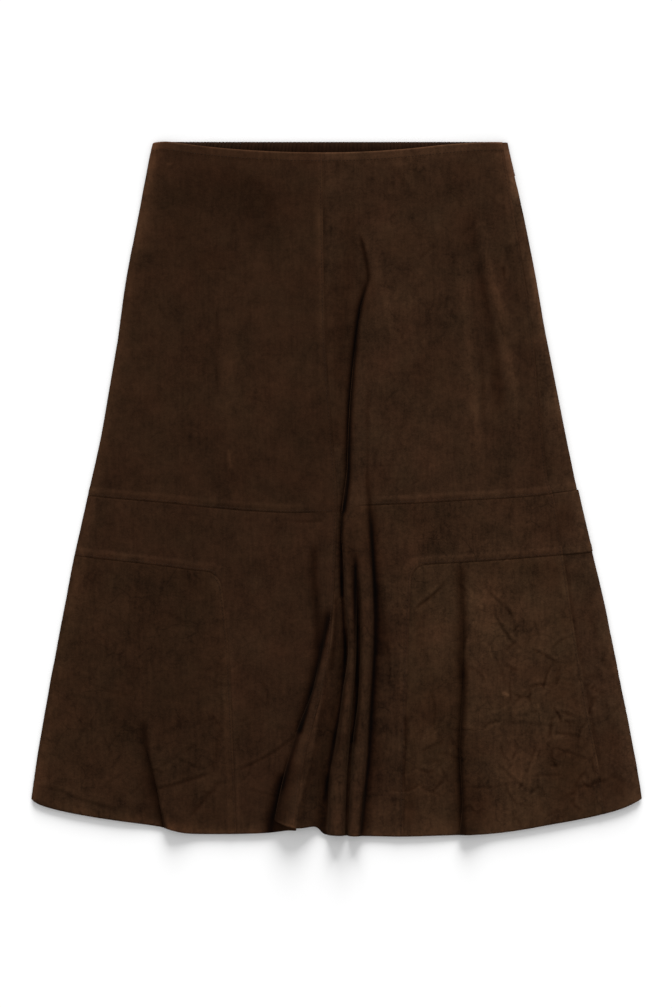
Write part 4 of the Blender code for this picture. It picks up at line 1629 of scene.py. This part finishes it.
def away(column, row, distance):
    """Moves columns by a distance in mm across the cloth, to the right when it is positive."""
    step = np.linalg.norm(surface(column + 0.1, row) - surface(column - 0.1, row), axis=1) / MM
    return column + distance * 0.2 / step


def level_line(start, stop, row, points):
    """Gives columns and rows of a line that runs level across the cloth."""
    return np.linspace(start, stop, points), np.full(points, row)


front_cloth = cloth_tree(upper_left, upper_right, centre_left, centre_right, lower_left, lower_right)
left_edge = column_at("left seam")
crest_line = column_at("flare crest")
side_seam = column_at("right side seam")
waist_line = level_line(left_edge, side_seam, WAIST_ROW + WAIST_TURNING - WAIST_STITCH_IN, WAIST_POINTS)
stitch_along(*waist_line, front_cloth)
for start, stop in ((left_edge, column_at("flare edge")), (column_at("twin base"), side_seam)):
    cross_line = level_line(start, stop, UPPER_SEAM_ROW - STITCH_IN, CROSS_POINTS)
    stitch_along(*cross_line, front_cloth)
upper_half = np.linspace(WAIST_ROW + 1, UPPER_SEAM_ROW - 1, DOWN_POINTS)
lower_half = np.linspace(UPPER_SEAM_ROW + 1, HEM_ROW - 1, DOWN_POINTS)
for rows in (upper_half, lower_half):
    for seam in (crest_line, side_seam):
        stitch_along(away(np.full(DOWN_POINTS, seam), rows, -STITCH_IN), rows, front_cloth)
# Round the corners, the seams are stitched above the side panels and to the left of their way down
for seam, side in (left_corner, right_corner):
    first, last = (left_edge, seam) if side < 0 else (seam, side_seam)
    here = surface(np.array([seam, seam + side]), np.full(2, LOWER_SEAM_ROW))
    over = STITCH_IN / (np.linalg.norm(np.diff(here, axis=0)) / MM)
    level_run = np.linspace(first, last, DOWN_POINTS)
    level_run = level_run[level_run - seam > -over] if side > 0 else level_run[::-1]
    level_rows = np.full(len(level_run), LOWER_SEAM_ROW - STITCH_IN)
    stitch_along(*round_corner(level_run, level_rows, seam, side), front_cloth)
    down_rows = np.linspace(LOWER_SEAM_ROW - STITCH_IN, HEM_ROW - 1, CORNER_POINTS)
    stitch_along(*round_corner(np.full(CORNER_POINTS, seam - over), down_rows, seam, side), front_cloth)
thread_data = bpy.data.meshes.new("thread")
thread_mesh.to_mesh(thread_data)
thread_mesh.free()
thread_data.shade_smooth()
thread = placed("thread", thread_data)
thread_data.materials.append(plain_finish("brown thread", THREAD_BROWN, 0.7, 0.08))
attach(thread, "root")


# Studio
#
# A white floor, a large soft light from beyond the waist and a little to the right, and soft
# light from all round. The camera hangs over the skirt with a long lens.

FRAME_HEIGHT = 1.01808
LENS = 200.0
SENSOR = 36.0
CAMERA_DOWN = -0.0150
LIGHT_HEIGHT = 20.0
LIGHT_TURN = 3.0
LIGHT_SPREAD = 36.0
LIGHT_POWER = 4.6
SKY_POWER = 0.65
FLOOR_HALF = 6
FLOOR_DROP = 0.0003
CLOTH_LEVEL = 0.003
FLOOR_WHITE = (0.9, 0.9, 0.9)

floor_mesh = bmesh.new()
bmesh.ops.create_grid(floor_mesh, x_segments=1, y_segments=1, size=FLOOR_HALF)
bmesh.ops.translate(floor_mesh, vec=(0, 0, -FLOOR_DROP), verts=floor_mesh.verts)
floor_data = bpy.data.meshes.new("floor")
floor_mesh.to_mesh(floor_data)
floor_mesh.free()
floor = placed("floor", floor_data)
floor_data.materials.append(plain_finish("white floor", FLOOR_WHITE, 0.9, 0.1))

height, turn = np.radians(LIGHT_HEIGHT), np.radians(LIGHT_TURN)
towards = Vector((np.sin(turn) * np.cos(height), np.cos(turn) * np.cos(height), np.sin(height)))
lamp = bpy.data.lights.new("soft key", "SUN")
lamp.energy = LIGHT_POWER
lamp.angle = np.radians(LIGHT_SPREAD)
key = placed("soft key", lamp)
key.rotation_mode = "QUATERNION"
key.rotation_quaternion = towards.to_track_quat("Z", "Y")
key.location = towards * 3

sky = bpy.data.worlds.new("soft room")
sky.use_nodes = True
sky.node_tree.nodes["Background"].inputs["Color"].default_value = (1, 1, 1, 1)
sky.node_tree.nodes["Background"].inputs["Strength"].default_value = SKY_POWER
bpy.context.scene.world = sky
bpy.context.scene.view_settings.view_transform = "Standard"

lens = bpy.data.cameras.new("camera")
lens.lens = LENS
lens.sensor_width = SENSOR
lens.clip_end = 100
camera = placed("camera", lens)
camera.location = (0, CAMERA_DOWN, FRAME_HEIGHT * LENS / SENSOR + CLOTH_LEVEL)
bpy.context.scene.camera = camera
